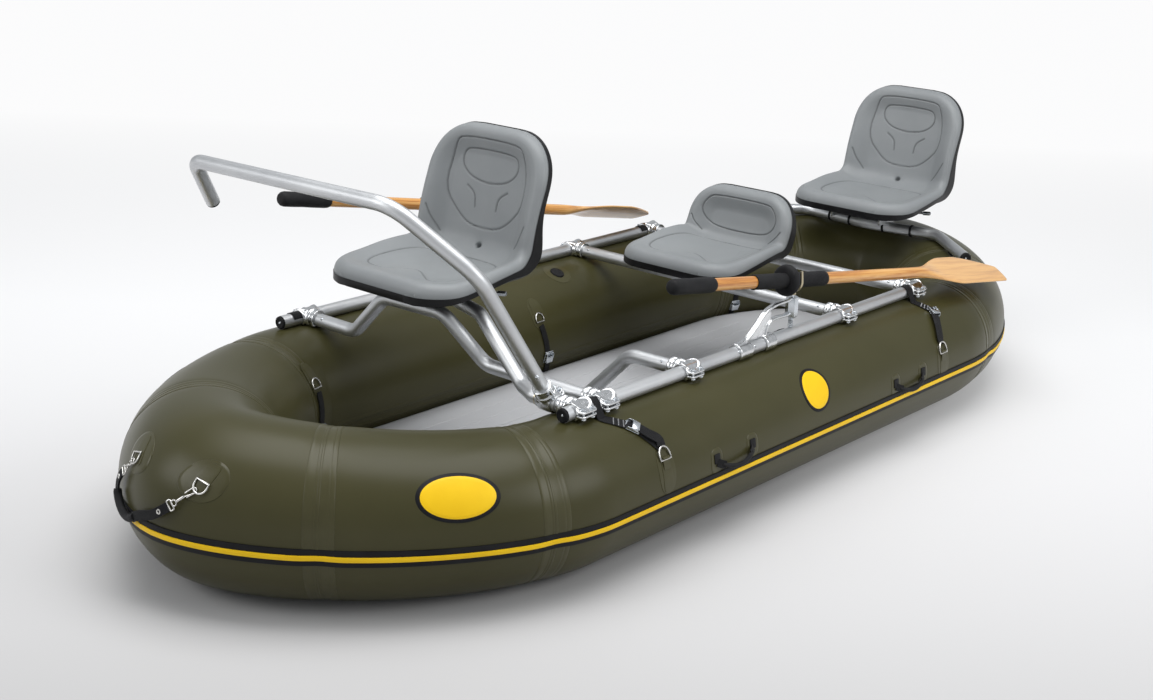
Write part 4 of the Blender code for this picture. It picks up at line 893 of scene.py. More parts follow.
# %% Tapes
def skin_strip(runs, angles, lift, thick):
    """A closed sheet over a grid of distances and angles, its border pressed to the skin."""
    rows, cols = len(runs), len(angles)
    top, low = [], []
    for i, s in enumerate(runs):
        base = lift - pinch(s)
        for j, a in enumerate(angles):
            rim = i in (0, rows - 1) or j in (0, cols - 1)
            top.append(skin(s, a, base + (0.0 if rim else thick)))
            low.append(skin(s, a, base - 0.0012))
    return closed_sheet(top, low, rows, cols)


TAPE_ANGLES = list(np.linspace(-75, 255, 100))
TAPE_LAYERS = ((0.0, 0.058, 0.0002, 0.0009), (0.004, 0.030, 0.0008, 0.0009), (-0.002, 0.006, 0.0014, 0.0012))
BOTTOM_TAPES = (196, 206)


def seam_tape(seam, width, lift, thick):
    half = width / 2
    runs = [seam - half, *np.linspace(seam - half + 0.0012, seam + half - 0.0012, 9), seam + half]
    return skin_strip(runs, TAPE_ANGLES, lift, thick)


def seams():
    parts = []
    for side in (1, -1):
        for seam in SEAM_RUNS:
            for shift, *layer in TAPE_LAYERS:
                parts.append((seam_tape(side * seam + shift, *layer), SKIN_PATCH))
    for angle in BOTTOM_TAPES:
        for side in (1, -1):
            runs = [side * v for v in np.linspace(run_at(0.95), run_at(-0.90), 60)]
            parts.append((skin_strip(runs, [angle - 2.6, angle - 2.2, angle + 2.2, angle + 2.6], 0.0001, 0.0006), SKIN))
    assemble("seam_tapes", parts, sharp=60)


seams()

# %% [markdown]
# A patch is rings of points round a centre, mapped to the skin, so it follows
# both curves of the tube. Shrinkwrapping a disc would need the skin's mesh
# to be as fine as the patch.

# %% Patches
PATCH_LEVELS = (1 / 6, 2 / 6, 3 / 6, 4 / 6, 5 / 6, 0.985, 1.0)
PATCH_SINK = 0.0015


def patch(s, degrees, length, height, spin=0.0, thick=0.0012, lift=0.0, around=48, power=2.6):
    """A rounded patch on the skin; a power of 2 makes an ellipse and a higher one a squarer shape."""
    radius = tube_frame(s)[2]
    cosine, sine = cos(radians(spin)), sin(radians(spin))
    verts, faces = [], []

    def spot(u, v, up):
        x, y = u * cosine - v * sine, u * sine + v * cosine
        verts.append(skin(s + x, degrees + math.degrees(y / radius), up))

    def ring(level, up):
        for a in round_angles(around):
            u, v = (math.copysign(abs(w) ** (2.0 / power), w) for w in (cos(a), sin(a)))
            spot(u * length / 2 * level, v * height / 2 * level, up)
    for level in PATCH_LEVELS:
        ring(level, lift + (thick if level < 0.98 else thick * 0.9 if level < 1.0 else 0.0))
    spot(0, 0, lift + thick)
    ring(1.0, lift - PATCH_SINK)
    spot(0, 0, lift - PATCH_SINK)
    centre, outer = len(PATCH_LEVELS) * around, (len(PATCH_LEVELS) - 1) * around
    base = centre + 1
    for k in range(around):
        m = (k + 1) % around
        faces += [(a + k, a + around + k, a + around + m, a + m) for a in range(0, outer, around)]
        faces += [(centre, k, m), (outer + k, base + k, base + m, outer + m), (base + around, base + m, base + k)]
    return mesh_from(verts, faces)

# %% [markdown]
# The rub strake is a black band with a yellow one on its middle, glued all
# the way round just below the equator. Both are swept cross-sections with
# rounded edges.

# %% Rub strake
STRAKE_DEGREES, STRAKE_STEP = -7.0, 0.0125


def strake(width, low, high, corner):
    half, soft = width / 2, corner * 0.3
    section = [(-half, low), (-half + soft, high - soft), (-half + corner, high), (0, high), (half - corner, high),
               (half - soft, high - soft), (half, low)]
    return loft([[skin(s, STRAKE_DEGREES + math.degrees(across / TUBE_R), lift - pinch(s)) for across, lift in section]
                 for s in np.arange(-HALF_RUN, HALF_RUN, STRAKE_STEP)], closed=True)


assemble("strake_band", [(strake(0.040, -0.0010, 0.0036, 0.0016), STRAKE_BLACK)],
         nodes=("rub_strake",), sharp=60)
assemble("strake_stripe", [(strake(0.0125, 0.0020, 0.0054, 0.0010), STRAKE_YELLOW)],
         nodes=("rub_strake_stripe",), sharp=60)

# %% [markdown]
# The floor is an inflated panel laced between the tubes. Its skin is a welded
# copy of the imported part, and thin welds run fore and aft over it. The row
# tree sets them out, so their spacing is one number.

# %% Floor
def merged(node):
    """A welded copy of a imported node's mesh."""
    bm = bmesh.new()
    bm.from_mesh(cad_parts[node].data)
    bmesh.ops.remove_doubles(bm, verts=bm.verts, dist=0.00002)
    bmesh.ops.dissolve_limit(bm, angle_limit=radians(1.0), verts=bm.verts, edges=bm.edges)
    bmesh.ops.recalc_face_normals(bm, faces=bm.faces)
    return from_bm(bm)


WELD_REACH, WELD_HALF, WELD_SPACING = 0.92, 0.2334, 0.0666


def floor_skin():
    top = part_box("floor_panel")[1].z - 0.0002
    weld = pipe([(0, y, 0) for y in np.linspace(-WELD_REACH, WELD_REACH, 60)], 0.0016, sides=8)
    across = [(0.0, -WELD_HALF, top), (0.0, WELD_HALF, top)]
    parts = [(merged("floor_panel"), FLOOR_SKIN), row(across, weld, WELD_SPACING, FLOOR_SKIN)]
    assemble("floor_skin", parts, nodes=("floor_panel",), sharp=35)


floor_skin()

# %% [markdown]
# Frame tubes are bent bars of one size. Each is swept along a line whose
# corners are true arcs, as a tube bender makes them. Open ends get a ribbed
# black plug with a screw in its middle.

# %% Frame tubes
PIPE_R = 0.01905
GAP = 0.0003
RAIL_Y = 0.528
RAIL_Z = 2 * TUBE_R * FLAT_SHARE + PIPE_R + GAP
RAIL_FRONT, RAIL_BACK = 0.907, -0.789
MOUTH_Y = RAIL_Y - PIPE_R - 0.006
SEAT_PIPE_Z = 0.525
BEND_R = 0.060
BRACE_X = 0.852
FOOT_X = 0.410
CROSSBAR_XS = (-0.350, -0.756)


PLUG_PROFILE = ((0.20, -0.0020), (1.00, -0.0010), (1.00, 0.0010), (0.99, 0.0022), (0.93, 0.0026), (0.93, 0.0040),
                (0.97, 0.0046), (0.97, 0.0058), (0.90, 0.0076), (0.74, 0.0082), (0.70, 0.0068), (0.40, 0.0062),
                (0.36, 0.0052), (0.02, 0.0050))
PLUG_R = 0.0186


def plug(end, way):
    """Ribbed end plug with a screw head."""
    end, way = Vector(end), Vector(way).normalized()
    place = place_along(end - way * 0.001, end + way)
    cap = turned([(PLUG_R * share, height) for share, height in PLUG_PROFILE], place)
    screw = turned([(0.0034, 0.0045), (0.0036, 0.0060), (0.0028, 0.0072), (0.0010, 0.0076), (0.0002, 0.0070)], place)
    return [(cap, RUBBER), (screw, ZINC)]


def rivet(spot, way, radius=0.0042, rise=0.0022):
    """Domed button on a tube."""
    spot, way = Vector(spot), Vector(way).normalized()
    place = place_along(spot - way * 0.001, spot + way)
    return [(turned([(radius, 0), (radius, 0.001), (radius * 0.9, rise * 0.7), (radius * 0.5, rise + 0.0008),
                     (radius * 0.05, rise + 0.001)], place, 24), ZINC)]


def rails():
    for name, side in (("port", 1), ("starboard", -1)):
        ends = [Vector((RAIL_BACK, side * RAIL_Y, RAIL_Z)), Vector((RAIL_FRONT, side * RAIL_Y, RAIL_Z))]
        line = [ends[0].lerp(ends[1], t / 40) for t in range(41)]
        parts = [(pipe(line, PIPE_R), TUBE_METAL)]
        parts += plug(ends[0], (-1, 0, 0)) + plug(ends[1], (1, 0, 0))
        lean = Vector((0, side * sin(radians(62)), cos(radians(62))))
        for x in (0.200, 0.124):
            parts += rivet(Vector((x, side * RAIL_Y, RAIL_Z)) + lean * PIPE_R, lean)
        assemble(name + "_rail_tube", parts, nodes=(name + "_rail",))


def crossbar_tubes():
    for name, x in zip(("front", "rear"), CROSSBAR_XS):
        line = [Vector((x, -MOUTH_Y + 2 * MOUTH_Y * t / 40, RAIL_Z)) for t in range(41)]
        parts = [(pipe(line, PIPE_R), TUBE_METAL)]
        for side in (1, -1):
            parts += rivet((x + PIPE_R * 0.75, side * 0.452, RAIL_Z + PIPE_R * 0.66), (0.75, 0, 0.66))
        assemble(name + "_crossbar_tube", parts, nodes=(name + "_crossbar",))


rails()
crossbar_tubes()

# %% [markdown]
# Two bent tubes carry the front seat: one spans the raft and rises under the
# seat, the other comes down to the port rail beside the brace. A third, with
# a plug at its end, is the rower's foot brace.

# %% Bent tubes
NEAR_X, FAR_X = 0.761, 0.812


def seat_tubes():
    """The two bent tubes that carry the front seat, and the foot brace."""
    cross = rounded([(NEAR_X, MOUTH_Y, RAIL_Z), (NEAR_X, 0.130, RAIL_Z), (FAR_X - PIPE_R / 2, 0.010, SEAT_PIPE_Z),
                     (FAR_X, -0.205, SEAT_PIPE_Z), (FAR_X, -0.325, RAIL_Z), (FAR_X, -MOUTH_Y, RAIL_Z)], BEND_R)
    parts = [(pipe(cross, PIPE_R), TUBE_METAL)]
    parts += rivet((FAR_X + PIPE_R * 0.8, -0.448, RAIL_Z + PIPE_R * 0.6), (0.8, 0, 0.6))
    assemble("front_seat_crosstube", parts, nodes=("seat_crosstube",))
    strut = rounded([(0.648, -0.170, SEAT_PIPE_Z), (0.735, 0.080, SEAT_PIPE_Z), (0.815, 0.310, RAIL_Z),
                     (BRACE_X, 0.380, RAIL_Z), (BRACE_X, MOUTH_Y, RAIL_Z)], [BEND_R, BEND_R, BEND_R / 3])
    assemble("front_seat_strut", [(pipe(strut, PIPE_R), TUBE_METAL)], nodes=("seat_strut",))
    foot = rounded([(FOOT_X, MOUTH_Y, RAIL_Z), (FOOT_X, 0.335, 0.398), (FOOT_X, 0.060, 0.119)], BEND_R)
    parts = [(pipe(foot, PIPE_R), TUBE_METAL)] + plug(foot[-1], foot[-1] - foot[-2])
    parts += rivet((FOOT_X + PIPE_R * 0.8, 0.452, RAIL_Z + PIPE_R * 0.6), (0.8, 0, 0.6))
    assemble("rower_foot_brace", parts, nodes=("foot_brace",))


seat_tubes()

# %% [markdown]
# The casting brace is one bar bent in a plane that leans forward. Its foot
# stands in a clamp that turns on a sleeve, so the brace and its clamp ride
# on their own body.

# %% Casting brace
COUPLER_Y, COUPLER_R = 0.434, 0.0225
BRACE_PLACE = moved((BRACE_X, COUPLER_Y, RAIL_Z)) @ spun(radians(35), "Y")


def brace():
    local = rounded([(0, 0, 0.0285), (0, 0, 0.0745), (0, -0.009, 0.440), (0, 0.250 - COUPLER_Y, 0.632),
                     (0, -0.500 - COUPLER_Y, 0.618), (0, -0.545 - COUPLER_Y, 0.460)],
                    [0.060, 0.120, 0.120, 0.050], 16)
    line = [BRACE_PLACE @ p for p in local]
    parts = [(pipe(line, PIPE_R), TUBE_METAL)] + plug(line[-1], line[-1] - line[-2])
    button = BRACE_PLACE @ Vector((PIPE_R * 0.5, PIPE_R * 0.86, 0.105))
    parts += rivet(button, BRACE_PLACE.to_3x3() @ Vector((0.5, 0.86, 0)), 0.006, 0.003)
    assemble("casting_brace_bar", parts, body="lean_bar", nodes=("casting_brace",))
    half = 0.032
    sleeve = turned([(PIPE_R + GAP, 0), (COUPLER_R - 0.0006, 0), (COUPLER_R, 0.0008), (COUPLER_R, 2 * half - 0.0008),
                     (COUPLER_R - 0.0006, 2 * half), (PIPE_R + GAP, 2 * half)],
                    place_along((BRACE_X, COUPLER_Y - half, RAIL_Z), (BRACE_X, COUPLER_Y, RAIL_Z)), closed=True)
    band = turned([(PIPE_R + GAP, 0), (PIPE_R + 0.0016, 0.0003), (PIPE_R + 0.0016, 0.0040), (PIPE_R + GAP, 0.0043)],
                  place_along((BRACE_X, COUPLER_Y - half - 0.0048, RAIL_Z), (BRACE_X, COUPLER_Y, RAIL_Z)), closed=True)
    parts = [(sleeve, TUBE_METAL), (band, BRASS)]
    parts += rivet((BRACE_X + COUPLER_R * 0.8, COUPLER_Y + 0.024, RAIL_Z + COUPLER_R * 0.6), (0.8, 0, 0.6), 0.0045,
                   0.003)
    assemble("brace_sleeve", parts, nodes=("brace_coupler",))


brace()

# %% [markdown]
# Every joint of the frame is the same split casting: a saddle round the
# rail with a raised oval rim on top, a socket for the branch and two ears
# drawn together by two bolts.
# One pattern is melted from overlapping shapes, so its corners flow as they
# do in sand casting, and then copied to each place.

# %% Clamps
def hex_bolt(centre, grip):
    """Cap screw with washer above and nut below, upright along Z."""
    x, y, z = centre
    place = moved((x, y, z))
    head = turned([(0.0060, grip / 2 + 0.0012), (0.0060, grip / 2 + 0.0046), (0.0050, grip / 2 + 0.0056),
                   (0.0008, grip / 2 + 0.0058)], place, 6)
    washer = turned([(0.0008, grip / 2), (0.0074, grip / 2), (0.0074, grip / 2 + 0.0013),
                     (0.0008, grip / 2 + 0.0013)], place, 24)
    nut = turned([(0.0008, -grip / 2), (0.0058, -grip / 2), (0.0062, -grip / 2 - 0.001),
                  (0.0062, -grip / 2 - 0.0044), (0.0008, -grip / 2 - 0.0050)], place, 6)
    shank = rod((x, y, z - grip / 2 - 0.0070), (x, y, z + grip / 2), 0.0030, sides=16)
    return [(head, ZINC), (washer, ZINC), (nut, ZINC), (shank, ZINC)]


def stadium(length, width, steps=12):
    """Outline with two round ends, along X."""
    half = (length - width) / 2
    points = []
    for centre, start in ((half, -90), (-half, 90)):
        for k in range(steps + 1):
            a = radians(start + 180 * k / steps)
            points.append((centre + width / 2 * cos(a), width / 2 * sin(a)))
    return points

# %% [markdown]
# The pattern is built with the rail along X. Bars give the saddle and the
# socket, flat stadiums the ears, a thin pipe the oval rim; bores, the slot
# and the flat underside are then cut away.

# %% The clamp's pattern
EAR_WIDTH, EAR_OUT = 0.0235, 0.0098
OVAL_LEAN, OVAL_TURN = 0.30, 0.95


def clamp_pattern(bore, length, reach, wall, socket_way, flat):
    """The casting, with the rail along X and its ears towards +Y."""
    outer = bore + GAP + wall
    way = Vector(socket_way)
    solids = [rod((-length / 2, 0, 0), (length / 2, 0, 0), outer, 0.002),
              rod((0, 0, 0), way * reach, PIPE_R + wall, 0.002),
              rod(way * (reach - 0.010), way * reach, PIPE_R + wall + 0.0022, 0.001),
              rod(way * (outer - 0.004), way * (outer + 0.006), PIPE_R + wall + 0.0040, 0.003)]
    for side in (1, -1):
        solids.append(extruded(stadium(length * 0.92, EAR_WIDTH), 0.0070,
                               moved((0, bore + EAR_OUT, side * 0.0056)), 0.002))
    if flat:
        oval = []
        for a in round_angles(40):
            lean = OVAL_LEAN + OVAL_TURN * sin(a)
            oval.append(Vector((length * 0.46 * cos(a), outer * sin(lean), outer * cos(lean))))
        solids.append(pipe(oval, 0.0030, sides=10, closed=True))
    side = Vector((0, 0, 1)) if flat else Vector((1, 0, 0))
    fin = [way * (outer * 0.3) + side * (outer - 0.001), way * reach * 0.92 + side * (PIPE_R + wall)]
    solids.append(rod(fin[0], fin[1], 0.0032, sides=12))
    tools = [rod((-length, 0, 0), (length, 0, 0), bore + GAP, sides=48),
             rod(way * (bore + wall - 0.001), way * (reach + 0.02), PIPE_R + GAP, sides=48),
             slab((length * 1.5, 0.06, 0.0030), moved((0, bore + 0.031, 0)), 0)]
    if flat:
        tools.append(slab((length * 2, 0.3, 0.03), moved((0, 0, -bore - 0.011)), 0))
    shape = cut([cast_solid(solids)], tools)
    bolts = []
    for part in (-0.5, 0.5):
        bolts += hex_bolt((part * 0.034 * length / 0.066, bore + wall + 0.0070, 0), 0.0185)
    return shape, bolts


def clamps():
    shape, bolts = clamp_pattern(PIPE_R, 0.066, 0.052, 0.006, (0, -1, 0), True)
    places = {"front_crossbar_port_tee": (CROSSBAR_XS[0], 1), "front_crossbar_starboard_tee": (CROSSBAR_XS[0], -1),
              "rear_crossbar_port_tee": (CROSSBAR_XS[1], 1), "rear_crossbar_starboard_tee": (CROSSBAR_XS[1], -1),
              "seat_strut_tee": (BRACE_X, 1), "seat_crosstube_port_tee": (NEAR_X, 1),
              "seat_crosstube_starboard_tee": (FAR_X, -1), "foot_brace_tee": (FOOT_X, 1)}
    for node, (x, side) in places.items():
        turn = spun(0.0 if side > 0 else pi, "Z")
        place = moved((x, side * RAIL_Y, RAIL_Z)) @ turn
        parts = [(copied(shape, place), CAST_METAL)] + [(copied(m, place), mat) for m, mat in bolts]
        assemble(node.replace("_tee", "_clamp"), parts, nodes=(node,), recalc=False)
    shape, bolts = clamp_pattern(COUPLER_R, 0.044, 0.052 + COUPLER_R - PIPE_R, 0.0045, (0, 0, 1), False)
    place = BRACE_PLACE @ spun(pi / 2, "Z")
    parts = [(copied(shape, place), CAST_METAL)] + [(copied(m, place), mat) for m, mat in bolts]
    assemble("brace_foot_clamp", parts, body="lean_bar", nodes=("casting_brace_clamp",),
             recalc=False)


clamps()

# %% [markdown]
# The seats are moulded buckets: a black tub and, on it, a pad of foam with a
# vinyl skin. The pad's rim is a thick roll and its middle is dished. Both
# come from one sheet: a side profile, a width along it, and a height over it
# that depends on the distance to the rim. A subdivided box would need many
# loops by hand to hold these even rims, so the sheet is computed instead.

# %% Seat profiles
SEAT_D = 0.468
HIGH_PROFILE = ((0.440, 0.074), (0.363, 0.074), (0.192, 0.054), (0.0, 0.039), (-0.192, 0.037), (-0.331, 0.069),
                (-0.428, 0.173), (-0.470, 0.321), (-0.500, 0.519), (-0.535, 0.741), (-0.567, 0.926), (-0.580, 1.0))
LOW_PROFILE = ((0.440, 0.135), (0.363, 0.135), (0.192, 0.099), (0.0, 0.072), (-0.192, 0.068), (-0.331, 0.108),
               (-0.408, 0.225), (-0.440, 0.400), (-0.462, 0.600), (-0.484, 0.800), (-0.500, 0.930), (-0.505, 1.0))
BUNCHING = 0.6
NORMAL_SPREAD = 55


def seat_profile(shares, height, rows):
    """Distance run, point and a slowly turning normal at stations that bunch at both ends."""
    line = np.array(smooth_line([(a * SEAT_D, 0, b * height) for a, b in shares], 40))[:, [0, 2]]
    run = np.concatenate([[0.0], np.cumsum(np.linalg.norm(np.diff(line, axis=0), axis=1))])
    even = np.linspace(0, run[-1], 400)
    points = np.stack([np.interp(even, run, line[:, k]) for k in range(2)], axis=1)
    slope = np.gradient(points, axis=0)
    slope = np.concatenate([np.repeat(slope[:1], NORMAL_SPREAD, 0), slope, np.repeat(slope[-1:], NORMAL_SPREAD, 0)])
    window = np.hanning(2 * NORMAL_SPREAD + 1) / np.hanning(2 * NORMAL_SPREAD + 1).sum()
    slope = np.stack([np.convolve(slope[:, k], window, "valid") for k in range(2)], axis=1)
    slope /= np.linalg.norm(slope, axis=1)[:, None]
    share = np.linspace(0, 1, rows + 1)
    want = run[-1] * (share - BUNCHING * np.sin(2 * np.pi * share) / (2 * np.pi))
    xz = np.stack([np.interp(want, even, points[:, k]) for k in range(2)], axis=1)
    normal = np.stack([np.interp(want, even, slope[:, 1]), -np.interp(want, even, slope[:, 0])], axis=1)
    return want, xz, normal


def ease(value):
    """A smooth step from 0 to 1."""
    value = np.clip(value, 0, 1)
    return value * value * (3 - 2 * value)


def round_end(distance, radius):
    """What a round corner takes off the half width at a distance from the end."""
    away = 1.0 - np.clip(distance / radius, 0, 1)
    return radius * (1.0 - (1.0 - away ** 2.2) ** (1 / 2.2))


def distance_to(lines, run, y):
    """Least distance from each grid point to drawn lines, all in (run, y) metres."""
    best = np.full(run.shape, 1.0)
    for line in lines:
        for (r0, y0), (r1, y1) in zip(line, line[1:]):
            dr, dy = r1 - r0, y1 - y0
            if dr == dy == 0:
                continue
            t = np.clip(((run - r0) * dr + (y - y0) * dy) / (dr * dr + dy * dy), 0, 1)
            best = np.minimum(best, np.hypot(run - r0 - t * dr, y - y0 - t * dy))
    return best


def drawn(points, closed=True, passes=2):
    """A drawn line with its corners cut round."""
    for _ in range(passes):
        ends = list(zip(points, points[1:] + points[:1])) if closed else list(zip(points, points[1:]))
        softer = [] if closed else [points[0]]
        for (a, b), (c, d) in ends:
            softer += [(0.75 * a + 0.25 * c, 0.75 * b + 0.25 * d), (0.25 * a + 0.75 * c, 0.25 * b + 0.75 * d)]
        points = softer if closed else softer + [points[-1]]
    return points + points[:1] if closed else points


def both_sides(points):
    """A closed line drawn on the port side only, completed on the other side."""
    return points + [(a, -b) for a, b in reversed(points)]

# %% [markdown]
# The pressed lines are grooves of a few millimetres, so the pad's grid is
# fine, while its hidden underside keeps only a few columns. The depth of
# each groove is also stored on the points, so the vinyl paints shade there.

# %% Seat pads and tubs
PAD_EDGE, PAD_RIM, PAD_ROLL = 0.007, 0.040, 0.027
SEAT_WING, RIM_BUNCHING = 0.044, 1.42
TUB_GROWTH, TUB_LIP = 0.002, 0.006
GROOVE_DEPTH, GROOVE_HALF = 0.0030, 0.0021


def seat_grid(form, rows, cols, grow=0.0):
    """The seat's sheet as arrays: run, y, distance to the rim, length and its points at a lift; it may be grown."""
    run, xz, normal = seat_profile(form["profile"], form["height"], rows)
    ends = np.linspace(-1, 1, rows + 1)[:, None] ** 9 * grow
    xz = xz + ends * np.stack([-normal[:, 1], normal[:, 0]], axis=1)
    length = run[-1]
    wide = form["pan"] + (form["back"] - form["pan"]) * ease((run - 0.20) / 0.22)
    half = wide / 2 - round_end(run, form["front_corner"]) - round_end(length - run, form["top_corner"])
    across = np.sin(np.linspace(-1, 1, cols + 1) * RIM_BUNCHING) / sin(RIM_BUNCHING)
    y = (half + grow)[:, None] * across[None, :]
    wing = ease(run / 0.30) * (1 - 0.6 * ease((run - length + 0.28) / 0.22))
    rise = SEAT_WING * (2 * np.abs(y) / wide[:, None]) ** 3 * wing[:, None]
    outline = list(zip(run[::3], half[::3])) + [(run[-1], half[-1])]
    outline += [(a, -b) for a, b in reversed(outline)]
    runs = np.broadcast_to(run[:, None], y.shape)
    edge = distance_to([outline + outline[:1]], runs, y)

    def sheet(up):
        x = xz[:, :1] + normal[:, :1] * (rise + up)
        z = xz[:, 1:] + normal[:, 1:] * (rise + up)
        return np.stack([x, y, z], axis=2)
    return runs, y, edge, length, sheet


def pad_mesh(form, rows=320, cols=232, steps=8):
    runs, y, edge, length, sheet = seat_grid(form, rows, cols)
    lines = [[(length - a, b) for a, b in line] for line in form["back_lines"]] + [PAN_LINE]
    groove_and_shade = np.exp(-(distance_to(lines, runs, y) / GROOVE_HALF) ** 2)
    roll = np.sqrt(1 - (1 - np.clip(edge / PAD_ROLL, 0, 1)) ** 2)
    dish = (0.005 + 0.011 * ease((runs - 0.30) / 0.16)) * ease((edge - 0.030) / 0.060)
    thigh = 0.006 * np.exp(-((runs - 0.13) / 0.07) ** 2) * np.exp(-((np.abs(y) - 0.095) / 0.050) ** 2)
    lift = GAP + PAD_EDGE + (PAD_RIM - PAD_EDGE) * roll - dish - thigh - GROOVE_DEPTH * groove_and_shade
    hole = np.hypot(runs - form["hole"], y)
    lift -= 0.018 * (0.5 - 0.5 * np.tanh((hole - 0.0085) / 0.0012)) + 0.003 * np.exp(-(hole / 0.018) ** 2)
    top = sheet(lift).reshape(-1, 3)
    under = sheet(np.full_like(lift, GAP))
    width = cols + 1
    faces = [(a, a + 1, a + width + 1, a + width) for i in range(rows) for a in range(i * width, i * width + cols)]
    verts, where = list(top), {}

    def below(i, j):
        if (i, j) not in where:
            where[i, j] = len(verts)
            verts.append(under[i, j])
        return where[i, j]
    jump = cols // steps
    for i in range(rows):
        for j in range(0, cols, jump):
            first = [below(i, k) for k in (range(j, j + jump + 1) if i == 0 else (j, j + jump))]
            last = [below(i + 1, k) for k in (range(j, j + jump + 1) if i == rows - 1 else (j, j + jump))]
            faces.append(tuple(first[::-1] + last))
    rim = rim_of(rows + 1, cols + 1)
    for (i, j), (k, m) in zip(rim, rim[1:] + rim[:1]):
        faces.append((i * width + j, below(i, j), below(k, m), k * width + m))
    mesh = mesh_from(verts, faces)
    # The groove mask is stored again as painted shade, for the vinyl to darken its colour in the pressed lines.
    store = mesh.attributes.new("groove_shade", "FLOAT", "POINT")
    store.data.foreach_set("value", np.concatenate([groove_and_shade.ravel(), np.zeros(len(verts) - groove_and_shade.size)]))
    return mesh

# %% [markdown]
# The tub is the same sheet, a little larger, with depth instead of foam. It
# has a lip that stands up round the pad, as a moulded shell has.

# %% Tubs
def tub_mesh(form, rows=150, cols=72):
    """The black tub: thin at the back's edges, thick below the front, deep at the sides of the bend."""
    runs, y, edge, _, sheet = seat_grid(form, rows, cols, TUB_GROWTH)
    bend = np.exp(-((runs - form["bend"]) / 0.085) ** 2) * ease((np.abs(y) - 0.075) / 0.060)
    front = ease(1 - runs / 0.10)
    depth = 0.010 + 0.008 * front + form["tub"] * bend
    hem = np.sqrt(1 - (1 - np.clip(edge / 0.012, 0, 1)) ** 2)
    lip = np.zeros_like(depth)
    lip[[0, -1], :] = lip[:, [0, -1]] = TUB_LIP
    low = sheet(-depth * (0.75 + 0.25 * hem)).reshape(-1, 3)
    return closed_sheet(sheet(lip).reshape(-1, 3), low, rows + 1, cols + 1)

# %% [markdown]
# Lines on a back are drawn by their distance down from its top edge, lines on
# the pan by their distance back from its front edge, with y across.

# %% Pressed lines
HIGH_LINES = [
    drawn(both_sides([(0.040, 0.100), (0.062, 0.130), (0.195, 0.152), (0.262, 0.092), (0.288, 0.045)])),
    drawn(both_sides([(0.070, 0.078), (0.086, 0.103), (0.122, 0.104), (0.150, 0.070), (0.160, 0.020)]))]
for side in (1, -1):
    HIGH_LINES.append(drawn([(0.176, side * 0.076), (0.196, side * 0.044), (0.232, side * 0.040)], False))
    HIGH_LINES.append(drawn([(0.250, side * 0.188), (0.290, side * 0.170), (0.330, side * 0.142)], False))
LOW_LINES = [drawn(both_sides([(0.038, 0.100), (0.052, 0.128), (0.088, 0.150), (0.126, 0.130), (0.148, 0.082)]))]
for side in (1, -1):
    LOW_LINES.append(drawn([(0.120, side * 0.176), (0.150, side * 0.160), (0.180, side * 0.132)], False))
PAN_LINE = drawn(both_sides([(0.150, 0.012), (0.122, 0.055), (0.092, 0.098), (0.096, 0.150), (0.170, 0.170),
                             (0.300, 0.158), (0.352, 0.110), (0.362, 0.040)]))
HIGH_SEAT = {"profile": HIGH_PROFILE, "height": 0.405, "pan": 0.466, "back": 0.432, "front_corner": 0.120,
             "top_corner": 0.150, "back_lines": HIGH_LINES, "hole": 0.425, "bend": 0.440, "tub": 0.030}
LOW_SEAT = {"profile": LOW_PROFILE, "height": 0.222, "pan": 0.430, "back": 0.396, "front_corner": 0.110,
            "top_corner": 0.120, "back_lines": LOW_LINES, "hole": -1.0, "bend": 0.430, "tub": 0.020}

# %% [markdown]
# Each seat is set over its hub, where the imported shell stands. The front
# and the rear seat are one moulding, the rower's has a low back. Four short
# feet on the tub meet the plate below, as on a bolted bucket seat.

# %% Seats in place
FEET = 0.060


def seat(prefix, place, form, body):
    pad, tub = pad_mesh(form), tub_mesh(form)
    pad.transform(place)
    tub.transform(place)
    pad_piece = assemble(prefix + "_seat_pad", [(pad, VINYL)], body=body,
                         nodes=(prefix + "_seat_cushion",), sharp=70)
    parts = [(tub, MOULDED)]
    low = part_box(prefix + "_seat_shell")[0].z
    for u in (-FEET, FEET):
        for v in (-FEET, FEET):
            spot = place @ Vector((u, v, 0))
            foot = turned([(0.0120, 0), (0.0120, 0.004), (0.0105, 0.008), (0.0115, 0.030)],
                          moved((spot.x, spot.y, low)), 24)
            parts.append((foot, MOULDED))
    assemble(prefix + "_seat_bucket", parts, body=body, nodes=(prefix + "_seat_shell",), sharp=50)


SEATS = (("front", 0.718, -0.120, HIGH_SEAT, "front_seat"), ("rear", -1.375, -0.010, HIGH_SEAT, "rear_seat"),
         ("rower", -0.410, -0.030, LOW_SEAT, "raft"))
for seat_name, hub_x, hub_y, seat_form, seat_body in SEATS:
    seat(seat_name, moved((hub_x, hub_y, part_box(seat_name + "_seat_shell")[0].z)), seat_form, seat_body)

# %% [markdown]
# Under each swivel seat sit two pressed plates: a round one that is fixed and
# a square one that turns with the seat, with a lock lever at its side. Each
# is a body of its own, because each of them moves.

# %% Plates and swivels
def round_rect(length, width, radius, steps=6):
    points = []
    for cx, cy, start in ((1, 1, 0), (-1, 1, 90), (-1, -1, 180), (1, -1, 270)):
        for k in range(steps + 1):
            a = radians(start + 90 * k / steps)
            points.append((cx * (length / 2 - radius) + radius * cos(a),
                           cy * (width / 2 - radius) + radius * sin(a)))
    return points


def plate_for(node, radius=0.010):
    low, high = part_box(node)
    size, middle = high - low, (high + low) / 2
    return extruded(round_rect(size.x, size.y, radius), size.z, moved(middle), 0.0006)


def small_bolt(x, y, z):
    profile = [(0.0062, 0), (0.0066, 0.0008), (0.0058, 0.0034), (0.0030, 0.0046), (0.0004, 0.0048)]
    return (turned(profile, moved((x, y, z)), 24), ZINC)


